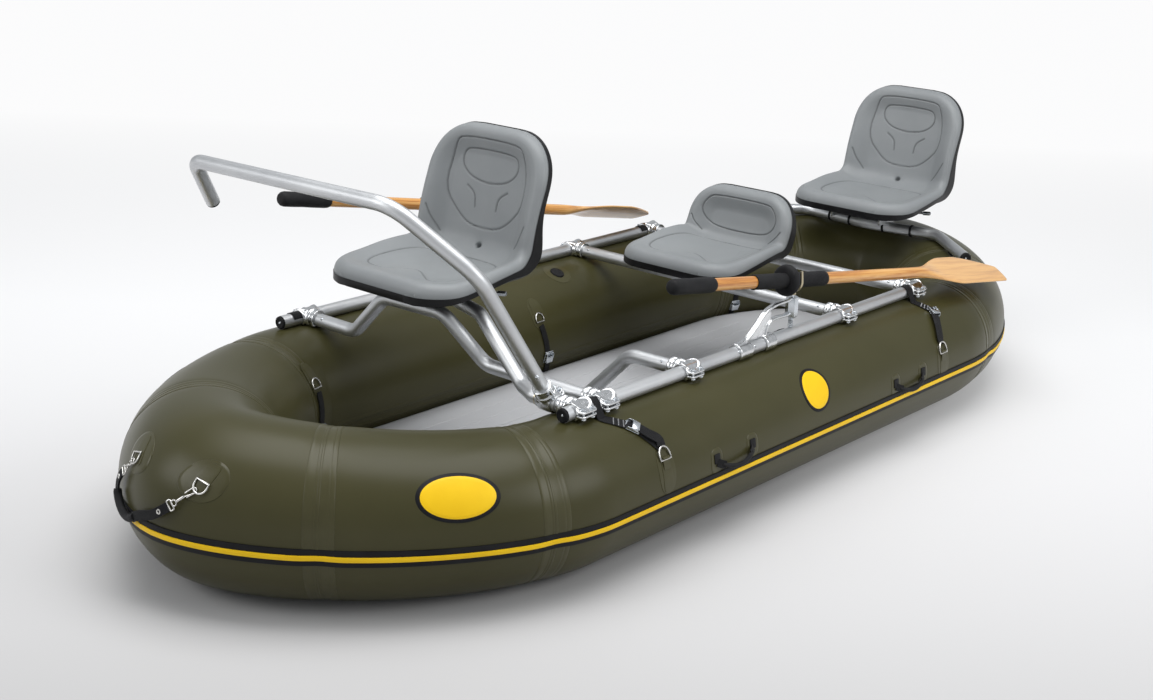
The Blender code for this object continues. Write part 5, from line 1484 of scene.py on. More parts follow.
def swivel(prefix, body, lever_body):
    low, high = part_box(prefix + "_swivel_base")
    middle = (low + high) / 2
    hub = turned([(0.0005, 0), (0.0748, 0), (0.0750, 0.0006), (0.0750, 0.0030), (0.0742, 0.0038), (0.058, 0.0040),
                  (0.022, 0.0040), (0.022, 0.0076), (0.0205, 0.0080), (0.0005, 0.0080)],
                 moved((middle.x, middle.y, low.z)), 64)
    assemble(prefix + "_swivel_fixed_plate", [(hub, ZINC)], nodes=(prefix + "_swivel_base",))
    top = prefix + "_swivel_top"
    low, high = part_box(top)
    middle, tall = (high + low) / 2, Vector((0, 0, 0.012))
    plate = cut([plate_for(top, 0.014)], [rod(middle - tall, middle + tall, 0.0232, sides=48)])
    assemble(prefix + "_swivel_turning_plate", [(plate, ZINC)], body=body, nodes=(top,))
    low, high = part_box(prefix + "_swivel_lever")
    start = Vector((high.x - 0.004, low.y, low.z + 0.004))
    tip = Vector((low.x + 0.006, high.y - 0.002, high.z - 0.007))
    line = smooth_line([start, start.lerp(tip, 0.3) - Vector((0, 0, 0.0015)), start.lerp(tip, 0.6), tip], 8)
    way = (tip - line[-2]).normalized()
    knob = turned([(0.0040, 0), (0.0066, 0.002), (0.0070, 0.008), (0.0070, 0.022), (0.0060, 0.027), (0.0020, 0.0285)],
                  place_along(tip - way * 0.0285, tip), 24)
    assemble(prefix + "_swivel_lock_lever", [(pipe(line, 0.0038, 16), ZINC), (knob, ZINC)], body=lever_body,
             nodes=(prefix + "_swivel_lever",))


def flat_plate(name, node, mesh, mat, bolted=True):
    """A plate or bracket, with a bolt head near each corner."""
    low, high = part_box(node)
    parts = [(mesh, mat)]
    if bolted:
        parts += [small_bolt(x, y, high.z - 0.0003) for x in (low.x + 0.012, high.x - 0.012)
                  for y in (low.y + 0.014, high.y - 0.014)]
    assemble(name, parts, nodes=(node,))


swivel("front", "front_seat", "front_lever")
swivel("rear", "rear_seat", "rear_lever")
flat_plate("front_seat_base_plate", "front_seat_plate", plate_for("front_seat_plate"), TUBE_METAL)
flat_plate("rower_seat_base_plate", "rower_seat_plate", plate_for("rower_seat_plate"), TUBE_METAL, False)
flat_plate("rear_seat_clamp_bracket", "rear_seat_bracket", merged("rear_seat_bracket"), CAST_METAL)

# %% [markdown]
# The rear seat stands on a C of tube that lies on the stern, held off the
# skin by small rubber blocks. Black bands hold the seat's bracket on it.

# %% Rear seat frame
REAR_LEG, REAR_CORNER, REAR_MIDDLE_X = (-1.170, 0.490), (-1.385, 0.265), -1.352


def rear_frame():
    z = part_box("rear_seat_bracket")[0].z - GAP - PIPE_R
    line = rounded([(*REAR_LEG, z), (*REAR_CORNER, z), (REAR_MIDDLE_X, 0, z), (REAR_CORNER[0], -REAR_CORNER[1], z),
                    (REAR_LEG[0], -REAR_LEG[1], z)], [0.075, 0.300, 0.075], 14)
    parts = [(pipe(line, PIPE_R), TUBE_METAL)]
    parts += plug(line[0], line[0] - line[1]) + plug(line[-1], line[-1] - line[-2])
    for side in (1, -1):
        start = Vector((REAR_LEG[0], side * REAR_LEG[1], z))
        end = Vector((REAR_CORNER[0], side * REAR_CORNER[1], z))
        spot = start.lerp(end, 0.42)
        turn = spun(math.atan2(end.y - start.y, end.x - start.x), "Z")
        block = moved(spot - Vector((0, 0, PIPE_R * 0.9))) @ turn
        parts.append((slab((0.034, 0.026, 0.012), block, 0.003), RUBBER))
    assemble("rear_seat_tube_frame", parts, nodes=("rear_seat_frame",))
    parts = []
    for y in (0.165, -0.165, 0.060, -0.075):
        x = REAR_MIDDLE_X + (REAR_CORNER[0] - REAR_MIDDLE_X) * min(abs(y) / REAR_CORNER[1], 1.0)
        tangent = Vector((0.12 if y < 0 else -0.12, 1, 0)).normalized()
        band = turned([(PIPE_R, 0), (PIPE_R + 0.0022, 0.0003), (PIPE_R + 0.0022, 0.0077), (PIPE_R, 0.0080)],
                      place_along(Vector((x, y, z)), Vector((x, y, z)) + tangent), closed=True)
        parts.append((band, RUBBER))
    assemble("rear_frame_bands", parts)


rear_frame()

# %% [markdown]
# Oars: a round shaft that flows into a flat blade, in varnished wood. Each
# has a black grip, a sleeve with a thick stop ring, and lies in a lock: a
# bent bar with an upright pin that turns in the socket of its stand.

# %% Oars
OAR_LENGTH, OAR_R, BLADE_LENGTH = 1.676, 0.0175, 0.480
LOCK_X, PORT_LOCK_Z, STAR_LOCK_Z = -0.072, 0.559, 0.585
BLADE_HALF, BLADE_THIN, TIP_START, TIP_CORNER = 0.067, 0.005, 0.62, 0.965
SLEEVE_R, SLEEVE_LENGTH, RIB_SPACING = 0.0215, 0.335, 0.0062


def tip_share(along, inner):
    """What the oblique tip leaves of the half width: the inner edge falls early, the outer at the end."""
    part = (along - OAR_LENGTH + BLADE_LENGTH) / BLADE_LENGTH
    corner = max(0.0, (part - TIP_CORNER) / (1.0005 - TIP_CORNER))
    left = math.sqrt(max(0.0, 1.0 - corner ** 2.5))
    if inner:
        fall = max(0.0, (part - TIP_START) / (1.0 - TIP_START))
        left *= 1.0 - 0.92 * fall ** 1.35
    return left


def oar_section(along):
    """Half width and half thickness of the wood along the oar."""
    part = (along - OAR_LENGTH + BLADE_LENGTH) / BLADE_LENGTH
    return OAR_R + (BLADE_HALF - OAR_R) * ease(part / 0.45), OAR_R + (BLADE_THIN - OAR_R) * ease(part / 0.30)

# %% [markdown]
# The wood is one loft: its section goes from a circle to a flat oval, and the
# blade's tip is cut oblique. The grip and the sleeve are turned shapes, and
# the sleeve's ribs are a row along its length.

# %% The whole oar
def oar(prefix, side, z, pitch, yaw, inboard, collar, drop, wood):
    place = (moved((LOCK_X, side * RAIL_Y, z)) @ spun(-yaw * side, "Z")
             @ moved((0, 0, -drop)) @ spun(-pitch, "Y"))
    body = prefix + "_oar_body"
    rings = []
    shares = list(np.linspace(0.075, OAR_LENGTH - BLADE_LENGTH, 40))
    shares += list(OAR_LENGTH - BLADE_LENGTH * (1 - np.sin(np.linspace(0, 1, 60)[1:] * pi / 2)))
    for along in shares:
        wide, thick = oar_section(along)
        flat = min(1.0, max(0.0, (along - (OAR_LENGTH - BLADE_LENGTH)) / 0.2))
        power = 2.0 + 1.6 * flat
        ring = []
        for a in round_angles(40):
            c, s = cos(a), sin(a)
            half = max(wide * tip_share(along, c * side < 0), 0.0004)
            ring.append(Vector((inboard - along, math.copysign(abs(c) ** (2 / power), c) * half,
                                math.copysign(abs(s) ** (2 / power), s) * thick)))
        rings.append(ring)
    shaft = loft(rings)
    mark = shaft.attributes.new("blade", "FLOAT", "POINT")
    mark.data.foreach_set("value", np.repeat(np.clip((np.array(shares) - OAR_LENGTH + BLADE_LENGTH + 0.02) / 0.14,
                                                     0, 1), 40))
    shaft.transform(place @ spun(-side * radians(25), "X"))
    assemble(prefix + "_oar_wood", [(shaft, wood)], body=body, nodes=(prefix + "_oar",), sharp=50)
    grip_r, far = 0.0215, 0.178
    along_x = place @ moved((inboard, 0, 0)) @ spun(-pi / 2, "Y")
    grip = turned([(0.0004, 0), (0.010, 0.0004), (0.0165, 0.003), (0.0198, 0.008), (grip_r, 0.016), (grip_r, 0.050),
                   (grip_r * 0.97, 0.085), (grip_r, 0.120), (grip_r, far - 0.016), (0.0208, far - 0.007),
                   (0.0192, far - 0.002), (OAR_R + 0.0004, far), (OAR_R + 0.0002, far - 0.002),
                   (OAR_R + 0.0002, 0.070), (0.0004, 0.069)], along_x)
    assemble(prefix + "_oar_handgrip", [(grip, RUBBER)], body=body,
             nodes=(prefix + "_oar_grip",), sharp=50)
    collar_x = place @ moved((collar, 0, 0)) @ spun(pi / 2, "Y")
    half = SLEEVE_LENGTH / 2
    inner, outer = OAR_R + 0.0003, SLEEVE_R
    profile = [(inner, -half), (outer - 0.001, -half), (outer, -half + 0.0012), (outer, 0.0)]
    for k in range(13):
        a = pi * k / 12
        profile.append((0.0315 + 0.0135 * sin(a) ** 0.8, 0.013 - 0.013 * cos(a)))
    profile += [(outer, 0.0262), (outer, half - 0.0012), (outer - 0.001, half), (inner, half)]
    sleeve = turned(profile, collar_x, 64, closed=True)
    rib = turned([(outer - 0.0004, -0.0016), (outer + 0.0003, -0.0014), (outer + 0.0008, 0), (outer + 0.0003, 0.0014),
                  (outer - 0.0004, 0.0016)], spun(pi / 2, "Y"), 48, closed=True)
    ends = [collar_x @ Vector((0, 0, h)) for h in (-half + 0.010, -0.012)]
    parts = [(sleeve, RUBBER), row(ends, rib, RIB_SPACING, RUBBER)]
    assemble(prefix + "_oar_sleeve_and_ring", parts, body=body,
             nodes=(prefix + "_oar_sleeve",), sharp=50)


PORT_PITCH, PORT_YAW, STAR_PITCH = radians(7.9), radians(3.0), radians(10.15)
oar("port", 1, PORT_LOCK_Z, PORT_PITCH, PORT_YAW, inboard=0.545, collar=0.022, drop=0.0,
    wood=wood_material("port_oar_wood", (0, PORT_PITCH, PORT_YAW)))
oar("starboard", -1, STAR_LOCK_Z, STAR_PITCH, 0.0, inboard=0.990, collar=0.270, drop=0.004,
    wood=wood_material("starboard_oar_wood", (0, STAR_PITCH, 0)))

# %% [markdown]
# A lock is a bent bar with a pin, cast in bronze. One pipe along a smooth
# line makes its horns, thinner at both tips; the pin and the foot below it
# are turned.

# %% Oarlocks
HORN_R, SOCKET_FOOT, SOCKET_HEAD = 0.0055, 0.452, 0.511


def oarlock(prefix, side, z, yaw):
    place = moved((LOCK_X, side * RAIL_Y, z)) @ spun(-yaw * side, "Z")
    bend = SLEEVE_R + 0.0012 + HORN_R
    path = [(0, -bend * 0.9, 0.030)]
    path += [(0, bend * cos(a), bend * sin(a)) for a in (pi + pi * k / 8 for k in range(9))]
    path.append((0, bend * 0.9, 0.030))
    horn = smooth_line(path, 6)
    factors = [0.75 + 0.25 * sin(pi * i / (len(horn) - 1)) for i in range(len(horn))]
    parts = [(pipe(horn, HORN_R, 20, factors=factors), BRASS),
             (rod((0, 0, -bend), (0, 0, SOCKET_FOOT - z + GAP), 0.0053, 0.001), ZINC),
             (turned([(0.0004, -bend - 0.014), (0.0085, -bend - 0.014), (0.0095, -bend - 0.012),
                      (0.0080, -bend - 0.003), (0.0050, -bend + 0.002), (0.0004, -bend + 0.002)], None, 32), BRASS)]
    for mesh, mat in parts:
        mesh.transform(place)
    assemble(prefix + "_oarlock_horns", parts, body=prefix + "_lock",
             nodes=(prefix + "_oarlock",))

# %% [markdown]
# The stand is an open casting with two curved arms. The arms are swept lines
# with a thin web, melted into one and then bored for the rail. The spring
# under the socket is a coil from its own tree.

# %% Stands and springs
def oarlock_stand(prefix, side):
    """Open S-shaped casting: two curved arms, a foot saddle and the hex socket."""
    solids = []
    top_arm = smooth_line([(0.196, 0, 0.4225), (0.150, 0, 0.4295), (0.105, 0, 0.4580), (0.065, 0, 0.4890),
                           (0.020, 0, 0.5020), (-0.035, 0, 0.5042), (-0.060, 0, 0.5040)], 8)
    low_arm = smooth_line([(0.060, 0, 0.4240), (0.055, 0, 0.4400), (0.040, 0, 0.4580), (0.010, 0, 0.4640),
                           (-0.035, 0, 0.4620), (-0.060, 0, 0.4640)], 8)
    for line, radius in ((top_arm, 0.0050), (low_arm, 0.0045)):
        for offset in (-0.0035, 0.0, 0.0035):
            solids.append(pipe([p + Vector((0, offset * 1.2, 0)) for p in line], radius, sides=12))
    web = [(0.150, 0.4285), (0.105, 0.4570), (0.065, 0.4880), (0.045, 0.4940), (0.030, 0.4840), (0.034, 0.4600),
           (0.052, 0.4440), (0.060, 0.4240), (0.100, 0.4200)]
    upright = spun(pi / 2, "X")
    solids.append(extruded(web, 0.0045, upright, 0.0005))
    for x, length in ((0.167, 0.060), (0.047, 0.050)):
        solids.append(rod((x - length / 2, 0, RAIL_Z), (x + length / 2, 0, RAIL_Z), PIPE_R + 0.006, 0.003))
    tools = [rod((-0.2, 0, RAIL_Z), (0.4, 0, RAIL_Z), PIPE_R + GAP, sides=48),
             slab((0.6, 0.09, 0.04), moved((0.1, 0, RAIL_Z - 1.8 * PIPE_R)), 0),
             rod((LOCK_X, 0, 0.40), (LOCK_X, 0, 0.60), 0.0063, sides=24)]
    casting = cut([cast_solid(solids, 0.0016, 5)], tools)
    socket = turned([(0.0062, SOCKET_FOOT), (0.0165, SOCKET_FOOT), (0.0180, SOCKET_FOOT + 0.0025),
                     (0.0180, SOCKET_HEAD - 0.0025), (0.0165, SOCKET_HEAD), (0.0062, SOCKET_HEAD)],
                    moved((LOCK_X, 0, 0)), 6, closed=True)
    place = moved((0, side * RAIL_Y, 0))
    parts = [(copied(casting, place), CAST_METAL), (copied(socket, place), ZINC)]
    assemble(prefix + "_oarlock_wing", parts, nodes=(prefix + "_oarlock_stand",),
             recalc=False, sharp=30)
    spring = grown(COIL, mesh_from([], []), Turns=8.0, Radius=0.0068, Height=0.0298, Wire=0.0010, Material=ZINC)
    spring.transform(moved((LOCK_X, side * RAIL_Y, 0.4215)))
    parts = [(spring, ZINC),
             (rod((LOCK_X, side * RAIL_Y, 0.4205), (LOCK_X, side * RAIL_Y, SOCKET_FOOT), 0.0040, 0.0005, 16), ZINC)]
    assemble(prefix + "_lock_spring", parts)


for lock_name, lock_side, lock_z, lock_yaw in (("port", 1, PORT_LOCK_Z, PORT_YAW),
                                               ("starboard", -1, STAR_LOCK_Z, 0.0)):
    oarlock(lock_name, lock_side, lock_z, lock_yaw)
    oarlock_stand(lock_name, lock_side)

# %% [markdown]
# Webbing straps hold the frame down. Each goes over its rail, through a cam
# buckle and ends in a D-ring whose patch is glued to the skin. The buckle is
# a folded plate with two cheeks and a bright thumb lever.

# %% Strap fittings
def d_ring(place, width=0.040, depth=0.034, wire=0.0026):
    """D-shaped wire ring lying in the local XY plane, its bar at the bottom."""
    half = width / 2
    path = [(-half, 0, 0), (half, 0, 0)]
    path += [(half * cos(a), depth * 0.35 + depth * 0.65 * sin(a), 0)
             for a in (pi * k / 14 for k in range(15))]
    ring = pipe(path, wire, 12, closed=True)
    ring.transform(place)
    return (ring, NICKEL)


def cam_buckle(place):
    """Folded plate with cheeks, a cross pin and the cam's thumb lever."""
    plate = extruded(round_rect(0.034, 0.040, 0.004), 0.0016, place @ moved((0, 0, -0.0040)), 0.0003)
    parts = [(plate, ZINC)]
    for side in (1, -1):
        cheek = extruded([(-0.019, 0), (0.019, 0), (0.015, 0.0085), (0.004, 0.0105), (-0.010, 0.0095), (-0.018, 0.004)],
                         0.0014, place @ moved((side * 0.0155, 0, -0.0040))
                         @ spun(pi / 2, "Z") @ spun(pi / 2, "X"), 0.0003)
        parts.append((cheek, ZINC))
    pin = rod(place @ Vector((-0.0175, 0.002, 0.0030)), place @ Vector((0.0175, 0.002, 0.0030)), 0.0020, sides=16)
    thumb = slab((0.0285, 0.0190, 0.0026), place @ moved((0, -0.006, 0.0052))
                 @ spun(radians(-7), "X"), 0.0010)
    return parts + [(pin, ZINC), (thumb, ZINC)]


def ring_patch(s, degrees, reach=0.066, height=0.120):
    """Two-layer patch under the webbing tongue that holds the ring's bar."""
    return [(patch(s, degrees, reach, height, thick=0.0010, power=2.4), SKIN_PATCH),
            (patch(s, degrees - 4.0, reach * 0.58, height * 0.70, thick=0.0012, lift=0.0008, power=4.0), SKIN_PATCH)]


DEGREE_WEIGHT = 57.3


def skin_route(stops, steps=10):
    """Points and normals of a line on the skin through (distance, degrees, lift) stops."""
    line = smooth_line([Vector((s, degrees / DEGREE_WEIGHT, lift)) for s, degrees, lift in stops], steps)
    points = [skin(p.x, p.y * DEGREE_WEIGHT, p.z) for p in line]
    normals = [skin_normal(p.x, p.y * DEGREE_WEIGHT) for p in line]
    return points, normals

# %% [markdown]
# Each strap is laid as stops on the skin, so it bends with the tube. The loose
# tail is a second strip over the first, and the sewn tacks are a row with a
# little jitter, since no machine sews them all alike.

# %% Frame straps
STRAP_WIDTH = 0.030
TACK_FROM, TACK_TO, TACK_SPACING = 6, 12, 0.0105


def frame_strap(name, node, side, rail_x, buckle_x, buckle_deg, ring_x, ring_deg):
    wrap = PIPE_R + 0.0015
    points, normals = [], []
    for degrees in range(165, 15, -10):
        a = radians(degrees)
        way = Vector((0, side * cos(a), sin(a)))
        points.append(Vector((rail_x, side * RAIL_Y, RAIL_Z)) + way * wrap)
        normals.append(way)
    ring_top = ring_deg + 4.0
    stops = [(run_at(rail_x, side), 74.0, 0.0021)]
    stops += [(run_at(rail_x + (buckle_x - rail_x) * 0.5, side), (74 + buckle_deg) / 2, 0.0024),
              (run_at(buckle_x, side), buckle_deg, 0.0040),
              (run_at((buckle_x + ring_x) / 2, side), (buckle_deg + ring_top) / 2, 0.0024),
              (run_at(ring_x, side), ring_top, 0.0032)]
    more, turns = skin_route(stops, 8)
    strap = webbing(points + more, normals + turns, STRAP_WIDTH)
    tacks = [p + n * 0.0012 for p, n in zip(more, turns)][TACK_FROM:TACK_TO]
    thread = pipe([(0.0012 * (-1) ** k, (k / 16 - 0.5) * STRAP_WIDTH * 0.84, 0) for k in range(17)], 0.0007, sides=6)
    tail_stops = [(run_at(buckle_x, side), buckle_deg + 2, 0.0075),
                  (run_at((buckle_x + ring_x) / 2, side), buckle_deg - 9, 0.0100),
                  (run_at(ring_x, side), ring_top + 6, 0.0090), (run_at(ring_x, side), ring_top + 0.6, 0.0058)]
    tail = webbing(*skin_route(tail_stops, 8), STRAP_WIDTH)
    parts = [(strap, WEBBING), (tail, WEBBING),
             row(tacks, thread, TACK_SPACING, THREAD, up=turns[(TACK_FROM + TACK_TO) // 2], jitter=0.0002)]
    tilt = math.degrees(math.atan2(run_at(ring_x, side) - run_at(rail_x, side), radians(74 - ring_top) * TUBE_R))
    parts += cam_buckle(skin_matrix(run_at(buckle_x, side), buckle_deg, 0.0070, tilt))
    assemble(name + "_web", parts, nodes=(node,), sharp=40)
    ring_run = run_at(ring_x, side)
    ring = skin_matrix(ring_run, ring_deg - 5.5, 0.0050)
    parts = ring_patch(ring_run, ring_deg - 14) + [d_ring(ring)]
    parts.append((webbing(*skin_route([(ring_run, ring_deg - 13, 0.0022), (ring_run, ring_deg - 7.2, 0.0050),
                                       (ring_run, ring_deg - 4.2, 0.0082), (ring_run, ring_deg - 3.6, 0.0050)], 6),
                          0.026, 0.0014), SKIN_PATCH))
    assemble(name + "_ring_patch", parts, sharp=40)


STRAPS = (("front_port_strap", 1, 0.8065, 0.749, 57.0, 0.700, 31.0),
          ("front_starboard_strap", -1, 0.860, 0.749, 57.0, 0.700, 31.0),
          ("rear_port_strap", 1, -0.708, -0.735, 56.0, -0.680, 23.0),
          ("rear_starboard_strap", -1, -0.708, -0.735, 56.0, -0.680, 23.0))
for strap_node, *strap_place in STRAPS:
    frame_strap(strap_node.replace("_strap", ""), strap_node, *strap_place)

# %% [markdown]
# Carrying handles are short bowed loops of padded webbing, sewn into black
# end pieces on skin patches. They hang a little, because nothing pulls them.

# %% Side handles
HANDLE_SPAN = 0.158


def side_handle(node, x, side, degrees):
    middle = run_at(x, side)
    stops = []
    for part in (0.0, 0.08, 0.2, 0.35, 0.5, 0.65, 0.8, 0.92, 1.0):
        rise = 0.034 * sin(pi * part) ** 0.8 if 0 < part < 1 else 0.0
        s = middle + (part - 0.5) * HANDLE_SPAN
        stops.append((s, degrees - math.degrees(rise * 0.6 / TUBE_R), 0.0022 + rise * 0.5))
    points, normals = skin_route(stops, 5)
    count = len(points) - 1
    factors = []
    for i in range(count + 1):
        share = min(i, count - i) / count
        factors.append(0.55 if share < 0.14 else 1.0 if share > 0.22 else 0.55 + 0.45 * (share - 0.14) / 0.08)
    ends = int(count * 0.2)
    parts = [(pipe(points[ends - 3:count - ends + 4], 0.0062, 16, factors=factors[ends - 3:count - ends + 4]), RUBBER)]
    parts.append((webbing(points[:ends + 1], normals[:ends + 1], 0.022, 0.0024), WEBBING))
    parts.append((webbing(points[count - ends:], normals[count - ends:], 0.022, 0.0024), WEBBING))
    for end in (-1, 1):
        s = middle + end * HANDLE_SPAN / 2
        flap = skin_matrix(s, degrees + 3.0, 0.0018)
        parts.append((extruded(round_rect(0.024, 0.026, 0.003), 0.0022, flap, 0.0004), WEBBING))
    assemble(node.replace("_handle", "_grab_loop"), parts, nodes=(node,), sharp=40)
    patches = [(patch(middle + end * HANDLE_SPAN / 2, degrees + 1.0, 0.050, 0.070, thick=0.0007, power=3.0), SKIN_PATCH)
               for end in (-1, 1)]
    assemble(node + "_patches", patches, sharp=60)


for handle_name, handle_x, handle_deg in (("front", 0.418, 7.0), ("rear", -0.475, 5.0)):
    for side_name, handle_side in (("port", 1), ("starboard", -1)):
        side_handle(handle_name + "_" + side_name + "_handle", handle_x, handle_side, handle_deg)

# %% [markdown]
# The bow handle is a rubber tube on webbing. Its ends have grommets, small
# rectangular rings and swivel snap hooks, clipped to D-rings on two patches.

# %% Bow handle
def bow_run(y):
    """Distance along the line where the centreline has this offset to port."""
    near = LINE[:600, 1]
    return math.copysign(float(np.interp(abs(y), near, RUN[:600])), y)


BOW_ROUTE = [(0.122, 30.6, 0.0046), (0.090, 24.0, 0.0090), (0.030, 11.0, 0.0145), (-0.020, 1.0, 0.0145),
             (-0.060, -4.0, 0.0145), (-0.105, -3.0, 0.0145), (-0.145, 4.0, 0.0145), (-0.150, 13.0, 0.0145),
             (-0.125, 24.0, 0.0090), (-0.107, 31.0, 0.0046)]


def snap_hook(start, end, normal):
    """Swivel snap hook between two points: barrel, eye and gated hook."""
    start, end, normal = Vector(start), Vector(end), Vector(normal).normalized()
    along = (end - start).normalized()
    side = along.cross(normal).normalized()
    length = (end - start).length
    eye = [start + along * (0.006 + 0.006 * cos(a)) + side * (0.007 * sin(a))
           for a in round_angles(20)]
    hook = [start + along * (length * 0.42)]
    for k in range(11):
        a = pi * k / 10
        hook.append(start + along * (length * 0.78 + 0.008 * sin(a)) + side * (0.0065 * cos(a)))
    hook.append(start + along * (length * 0.52) - side * 0.0060)
    gate = [start + along * (length * 0.50) + side * 0.0050, start + along * (length * 0.74) + side * 0.0062]
    return [(pipe(eye, 0.0016, 10, closed=True), NICKEL), (pipe(smooth_line(hook, 3), 0.0018, 12), NICKEL),
            (rod(start + along * 0.012, start + along * (length * 0.46), 0.0036, 0.0006, 20), NICKEL),
            (rod(gate[0], gate[1], 0.0013, sides=10), NICKEL)]

# %% [markdown]
# The handle's route is a line of stops round the nose. Shares of its length
# say where the tube, the webbing, the grommets and the hooks begin and end.

# %% The whole bow handle
def bow_handle():
    stops = [(bow_run(HALF_BEAM * y), degrees, lift) for y, degrees, lift in BOW_ROUTE]
    points, normals = skin_route(stops, 12)
    total = len(points) - 1
    parts = []
    a, b = int(total * 0.36), int(total * 0.72)
    grip = points[a:b]
    factors = [min(1.0, 0.86 + 0.14 * min(i, len(grip) - 1 - i) / 2) for i in range(len(grip))]
    parts.append((pipe(grip, 0.0100, 28, factors=factors), RUBBER))
    for first, last in ((int(total * 0.20), a + 3), (b - 3, int(total * 0.84))):
        parts.append((webbing(points[first:last], normals[first:last], 0.024, 0.0050), WEBBING))
    for spot in (int(total * 0.24), int(total * 0.80)):
        place = place_along(points[spot], points[spot] + normals[spot])
        grommet = turned([(0.0028, 0.0022), (0.0062, 0.0022), (0.0066, 0.0030), (0.0058, 0.0038), (0.0036, 0.0038)],
                         place, 24, closed=True)
        parts.append((grommet, NICKEL))
    for inner, outer in ((int(total * 0.19), int(total * 0.03)), (int(total * 0.85), int(total * 0.97))):
        start, end = points[inner], points[outer]
        normal = normals[inner]
        along = (end - start).normalized()
        across = along.cross(normal).normalized()
        loop = [start + along * u + across * v for u, v in round_rect(0.010, 0.026, 0.003, 4)]
        parts.append((pipe(loop, 0.0018, 12, closed=True), NICKEL))
        parts += snap_hook(start + along * 0.004, end, normal)
    assemble("bow_carry_handle", parts, body="bow_grab", nodes=("bow_handle",), sharp=40)


def bow_patches():
    parts = []
    for y, degrees, spin in ((0.063, 34.0, -18.0), (-0.060, 35.0, 18.0)):
        s = bow_run(y)
        parts.append((patch(s, degrees, 0.080, 0.105, thick=0.0011, power=2.1, spin=spin), SKIN_PATCH))
        parts.append((patch(s, degrees + 1.5, 0.030, 0.075, thick=0.0016, lift=0.0008, power=4.5, spin=spin),
                      SKIN_PATCH))
        ring = skin_matrix(s, degrees - 1.0, 0.0050, spin + 180)
        parts.append(d_ring(ring, 0.036, 0.030, 0.0024))
    assemble("bow_ring_patches", parts, sharp=50)


bow_handle()
bow_patches()

# %% [markdown]
# On the real raft the two yellow discs carry names. Here they are plain:
# a black rim and a yellow field, the right size in the right place.

# %% Blank badges
BADGE_RIM = 0.017


def badge(name, s, degrees, length, height, spin):
    parts = [(patch(s, degrees, length, height, thick=0.0009, lift=0.0003, power=2.0, spin=spin, around=96),
              STRAKE_BLACK),
             (patch(s, degrees, length - BADGE_RIM, height - BADGE_RIM, thick=0.0005, lift=0.0010, power=2.0, spin=spin,
                    around=96), STRAKE_YELLOW)]
    assemble(name, parts, sharp=60)


for badge_name, badge_side in (("port", 1), ("starboard", -1)):
    badge(badge_name + "_round_badge", run_at(0.006, badge_side), 31.0, 0.128, 0.128, 0.0)
    badge(badge_name + "_oval_badge", run_at(1.197, badge_side), 33.0, 0.170, 0.118, 0.0)

# %% [markdown]
# Inside the tubes, short straps tie the floor panel to rings on the skin,
# and a flush valve sits on its round patch.

# %% Inner fittings
def floor_tie(name, x, side, top_deg, low_deg, lean=0.0):
    s = run_at(x, side)
    stops = [(s, top_deg, 0.004), (s + lean * 0.3, top_deg + (low_deg - top_deg) * 0.3, 0.0024),
             (s + lean * 0.7, top_deg + (low_deg - top_deg) * 0.7, 0.0024), (s + lean, low_deg, 0.006)]
    points, normals = skin_route(stops, 10)
    parts = [(webbing(points, normals, 0.022), WEBBING)]
    middle_deg = top_deg + (low_deg - top_deg) * 0.62
    parts += cam_buckle(skin_matrix(s + lean * 0.62, middle_deg, 0.0070, 180))
    parts += ring_patch(s, top_deg - 12, 0.060, 0.105)
    parts.append(d_ring(skin_matrix(s, top_deg - 3.5, 0.0045, 180), 0.034, 0.028, 0.0022))
    hook = skin_matrix(s + lean, low_deg + 2, 0.006)
    parts.append(d_ring(hook, 0.030, 0.022, 0.0020))
    assemble(name, parts, sharp=40)


for tie_side, tie_name in ((-1, "starboard"), (1, "port")):
    floor_tie(tie_name + "_floor_tie_middle", 0.028, tie_side, 161.0, 214.0, tie_side * 0.05)
    floor_tie(tie_name + "_floor_tie_front", 1.005, tie_side, 160.0, 214.0, 0.0)
    floor_tie(tie_name + "_floor_tie_rear", -1.045, tie_side, 176.0, 216.0, 0.0)


def valve(name, x, side, degrees):
    s = run_at(x, side)
    parts = [(patch(s, degrees, 0.096, 0.096, thick=0.0010, power=2.0), SKIN_PATCH)]
    place = skin_matrix(s, degrees, 0.0)
    cap = turned([(0.0004, 0.0070), (0.010, 0.0070), (0.013, 0.0050), (0.0165, 0.0052), (0.0215, 0.0045),
                  (0.0235, 0.0022), (0.0240, -0.0015), (0.0004, -0.0015)], place)
    parts.append((cap, RUBBER))
    assemble(name, parts, sharp=40)


valve("starboard_air_valve", -0.166, -1, 113.0)
valve("port_air_valve", -0.166, 1, 113.0)
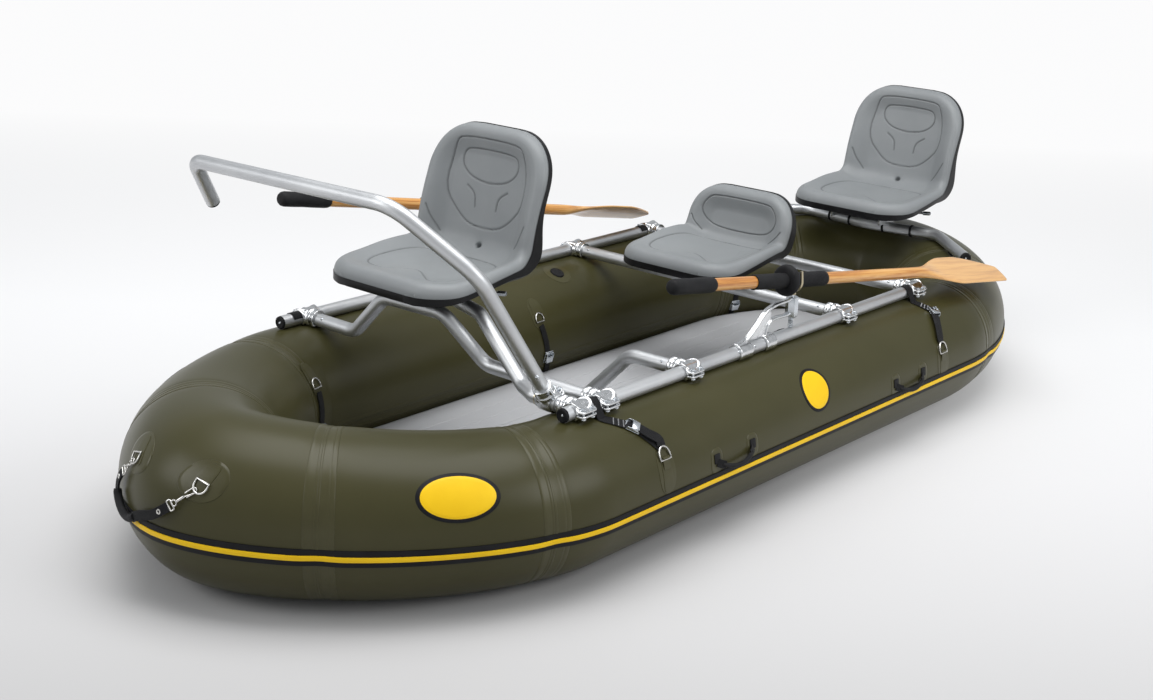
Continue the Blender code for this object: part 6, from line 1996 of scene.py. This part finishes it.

# %% [markdown]
# The floor of the studio is a pale sheet whose colour holds painted shade and
# light: darker in a band in front of the raft, paler with distance.
# Near the raft it is lit like any surface, so it takes the shadow; far off
# it glows by itself, which gives the white backdrop without a wall.

# %% Studio floor
def studio_floor():
    bpy.ops.mesh.primitive_plane_add(size=80, location=(0, 0, -0.0005))
    floor = bpy.context.object
    floor.name = "studio_floor"
    mat, tree, shader = new_material("studio_floor", Roughness=0.65, Specular_IOR_Level=0.2)
    place = add_node(tree, "ShaderNodeTexCoord")
    away = add_node(tree, "ShaderNodeVectorMath", operation="DOT_PRODUCT")
    away.inputs[1].default_value = (cos(YAW), sin(YAW), 0)
    # Painted shade and light in the floor's base colour: a darker band in front of the raft, paler further off, as the
    # studio's light falls off.
    tone = add_node(tree, "ShaderNodeValToRGB")
    ramp_stops(tone, (0.0, (0.90, 0.90, 0.905)), (0.26, (0.48, 0.475, 0.475)), (0.44, (0.64, 0.635, 0.64)),
               (0.64, (0.82, 0.82, 0.825)), (1.0, (0.93, 0.93, 0.935)))
    span = add_node(tree, "ShaderNodeMapRange", i1=-4.0, i2=4.0)
    wire(tree, (place, "Object", away, 0), (away, "Value", span, 0), (span, 0, tone, "Fac"),
         (tone, "Color", shader, "Base Color"))
    glow = add_node(tree, "ShaderNodeEmission", Color=(0.97, 0.97, 0.975, 1), Strength=1.0)
    mixer = add_node(tree, "ShaderNodeMixShader")
    far = add_node(tree, "ShaderNodeMapRange", i1=-0.6, i2=5.0, i3=0.0, i4=1.0)
    radius = add_node(tree, "ShaderNodeVectorMath", operation="LENGTH")
    around = add_node(tree, "ShaderNodeMapRange", i1=3.4, i2=6.5, i3=0.0, i4=1.0)
    either = add_node(tree, "ShaderNodeMath", operation="MAXIMUM")
    path, out = add_node(tree, "ShaderNodeLightPath"), tree.nodes["Material Output"]
    rays = add_node(tree, "ShaderNodeMath", operation="ADD")
    any_ray = add_node(tree, "ShaderNodeMath", operation="ADD", use_clamp=True)
    seen = add_node(tree, "ShaderNodeMath", operation="MULTIPLY")
    wire(tree, (away, "Value", far, 0), (place, "Object", radius, 0), (radius, "Value", around, 0),
         (far, 0, either, 0), (around, 0, either, 1), (either, 0, seen, 0), (path, "Is Camera Ray", rays, 0),
         (path, "Is Glossy Ray", rays, 1), (rays, 0, any_ray, 0), (path, "Is Transmission Ray", any_ray, 1),
         (any_ray, 0, seen, 1), (seen, 0, mixer, 0), (shader, 0, mixer, 1), (glow, 0, mixer, 2),
         (mixer, 0, out, "Surface"))
    floor.data.materials.append(mat)
    print("studio floor:", len(tree.nodes), "nodes")


studio_floor()

# %% [markdown]
# A broad lamp overhead makes the soft shadow under the raft. Two weaker ones
# from the side and the bow draw bright edges along the tubes, and an even
# world fills the rest. A single sun would give hard shadows.

# %% Lamps
def studio_light():
    world = bpy.data.worlds.new("studio")
    world.use_nodes = True
    world.node_tree.nodes["Background"].inputs["Color"].default_value = (0.94, 0.97, 1.0, 1)
    world.node_tree.nodes["Background"].inputs["Strength"].default_value = 0.50
    scene.world = world
    lamps = (("top_lamp", (0.4, 0.2, 4.6), (0, 0, 0), 5.0, 3.6, 210.0),
             ("side_lamp", (-1.0, 4.8, 3.0), (0, 0, 0.3), 3.4, 2.4, 95.0),
             ("bow_lamp", (5.2, -2.6, 3.2), (0, 0, 0.3), 3.0, 2.4, 80.0))
    for name, spot, target, width, depth, power in lamps:
        data = bpy.data.lights.new(name, "AREA")
        data.shape = "RECTANGLE"
        data.size, data.size_y = width, depth
        data.energy = power
        lamp = bpy.data.objects.new(name, data)
        lamp.location = spot
        aim = Vector(target) - Vector(spot)
        lamp.rotation_euler = aim.to_track_quat("-Z", "Y").to_euler()
        scene.collection.objects.link(lamp)
    scene.view_settings.view_transform = "Standard"
    print("lamps:", len(lamps))


studio_light()
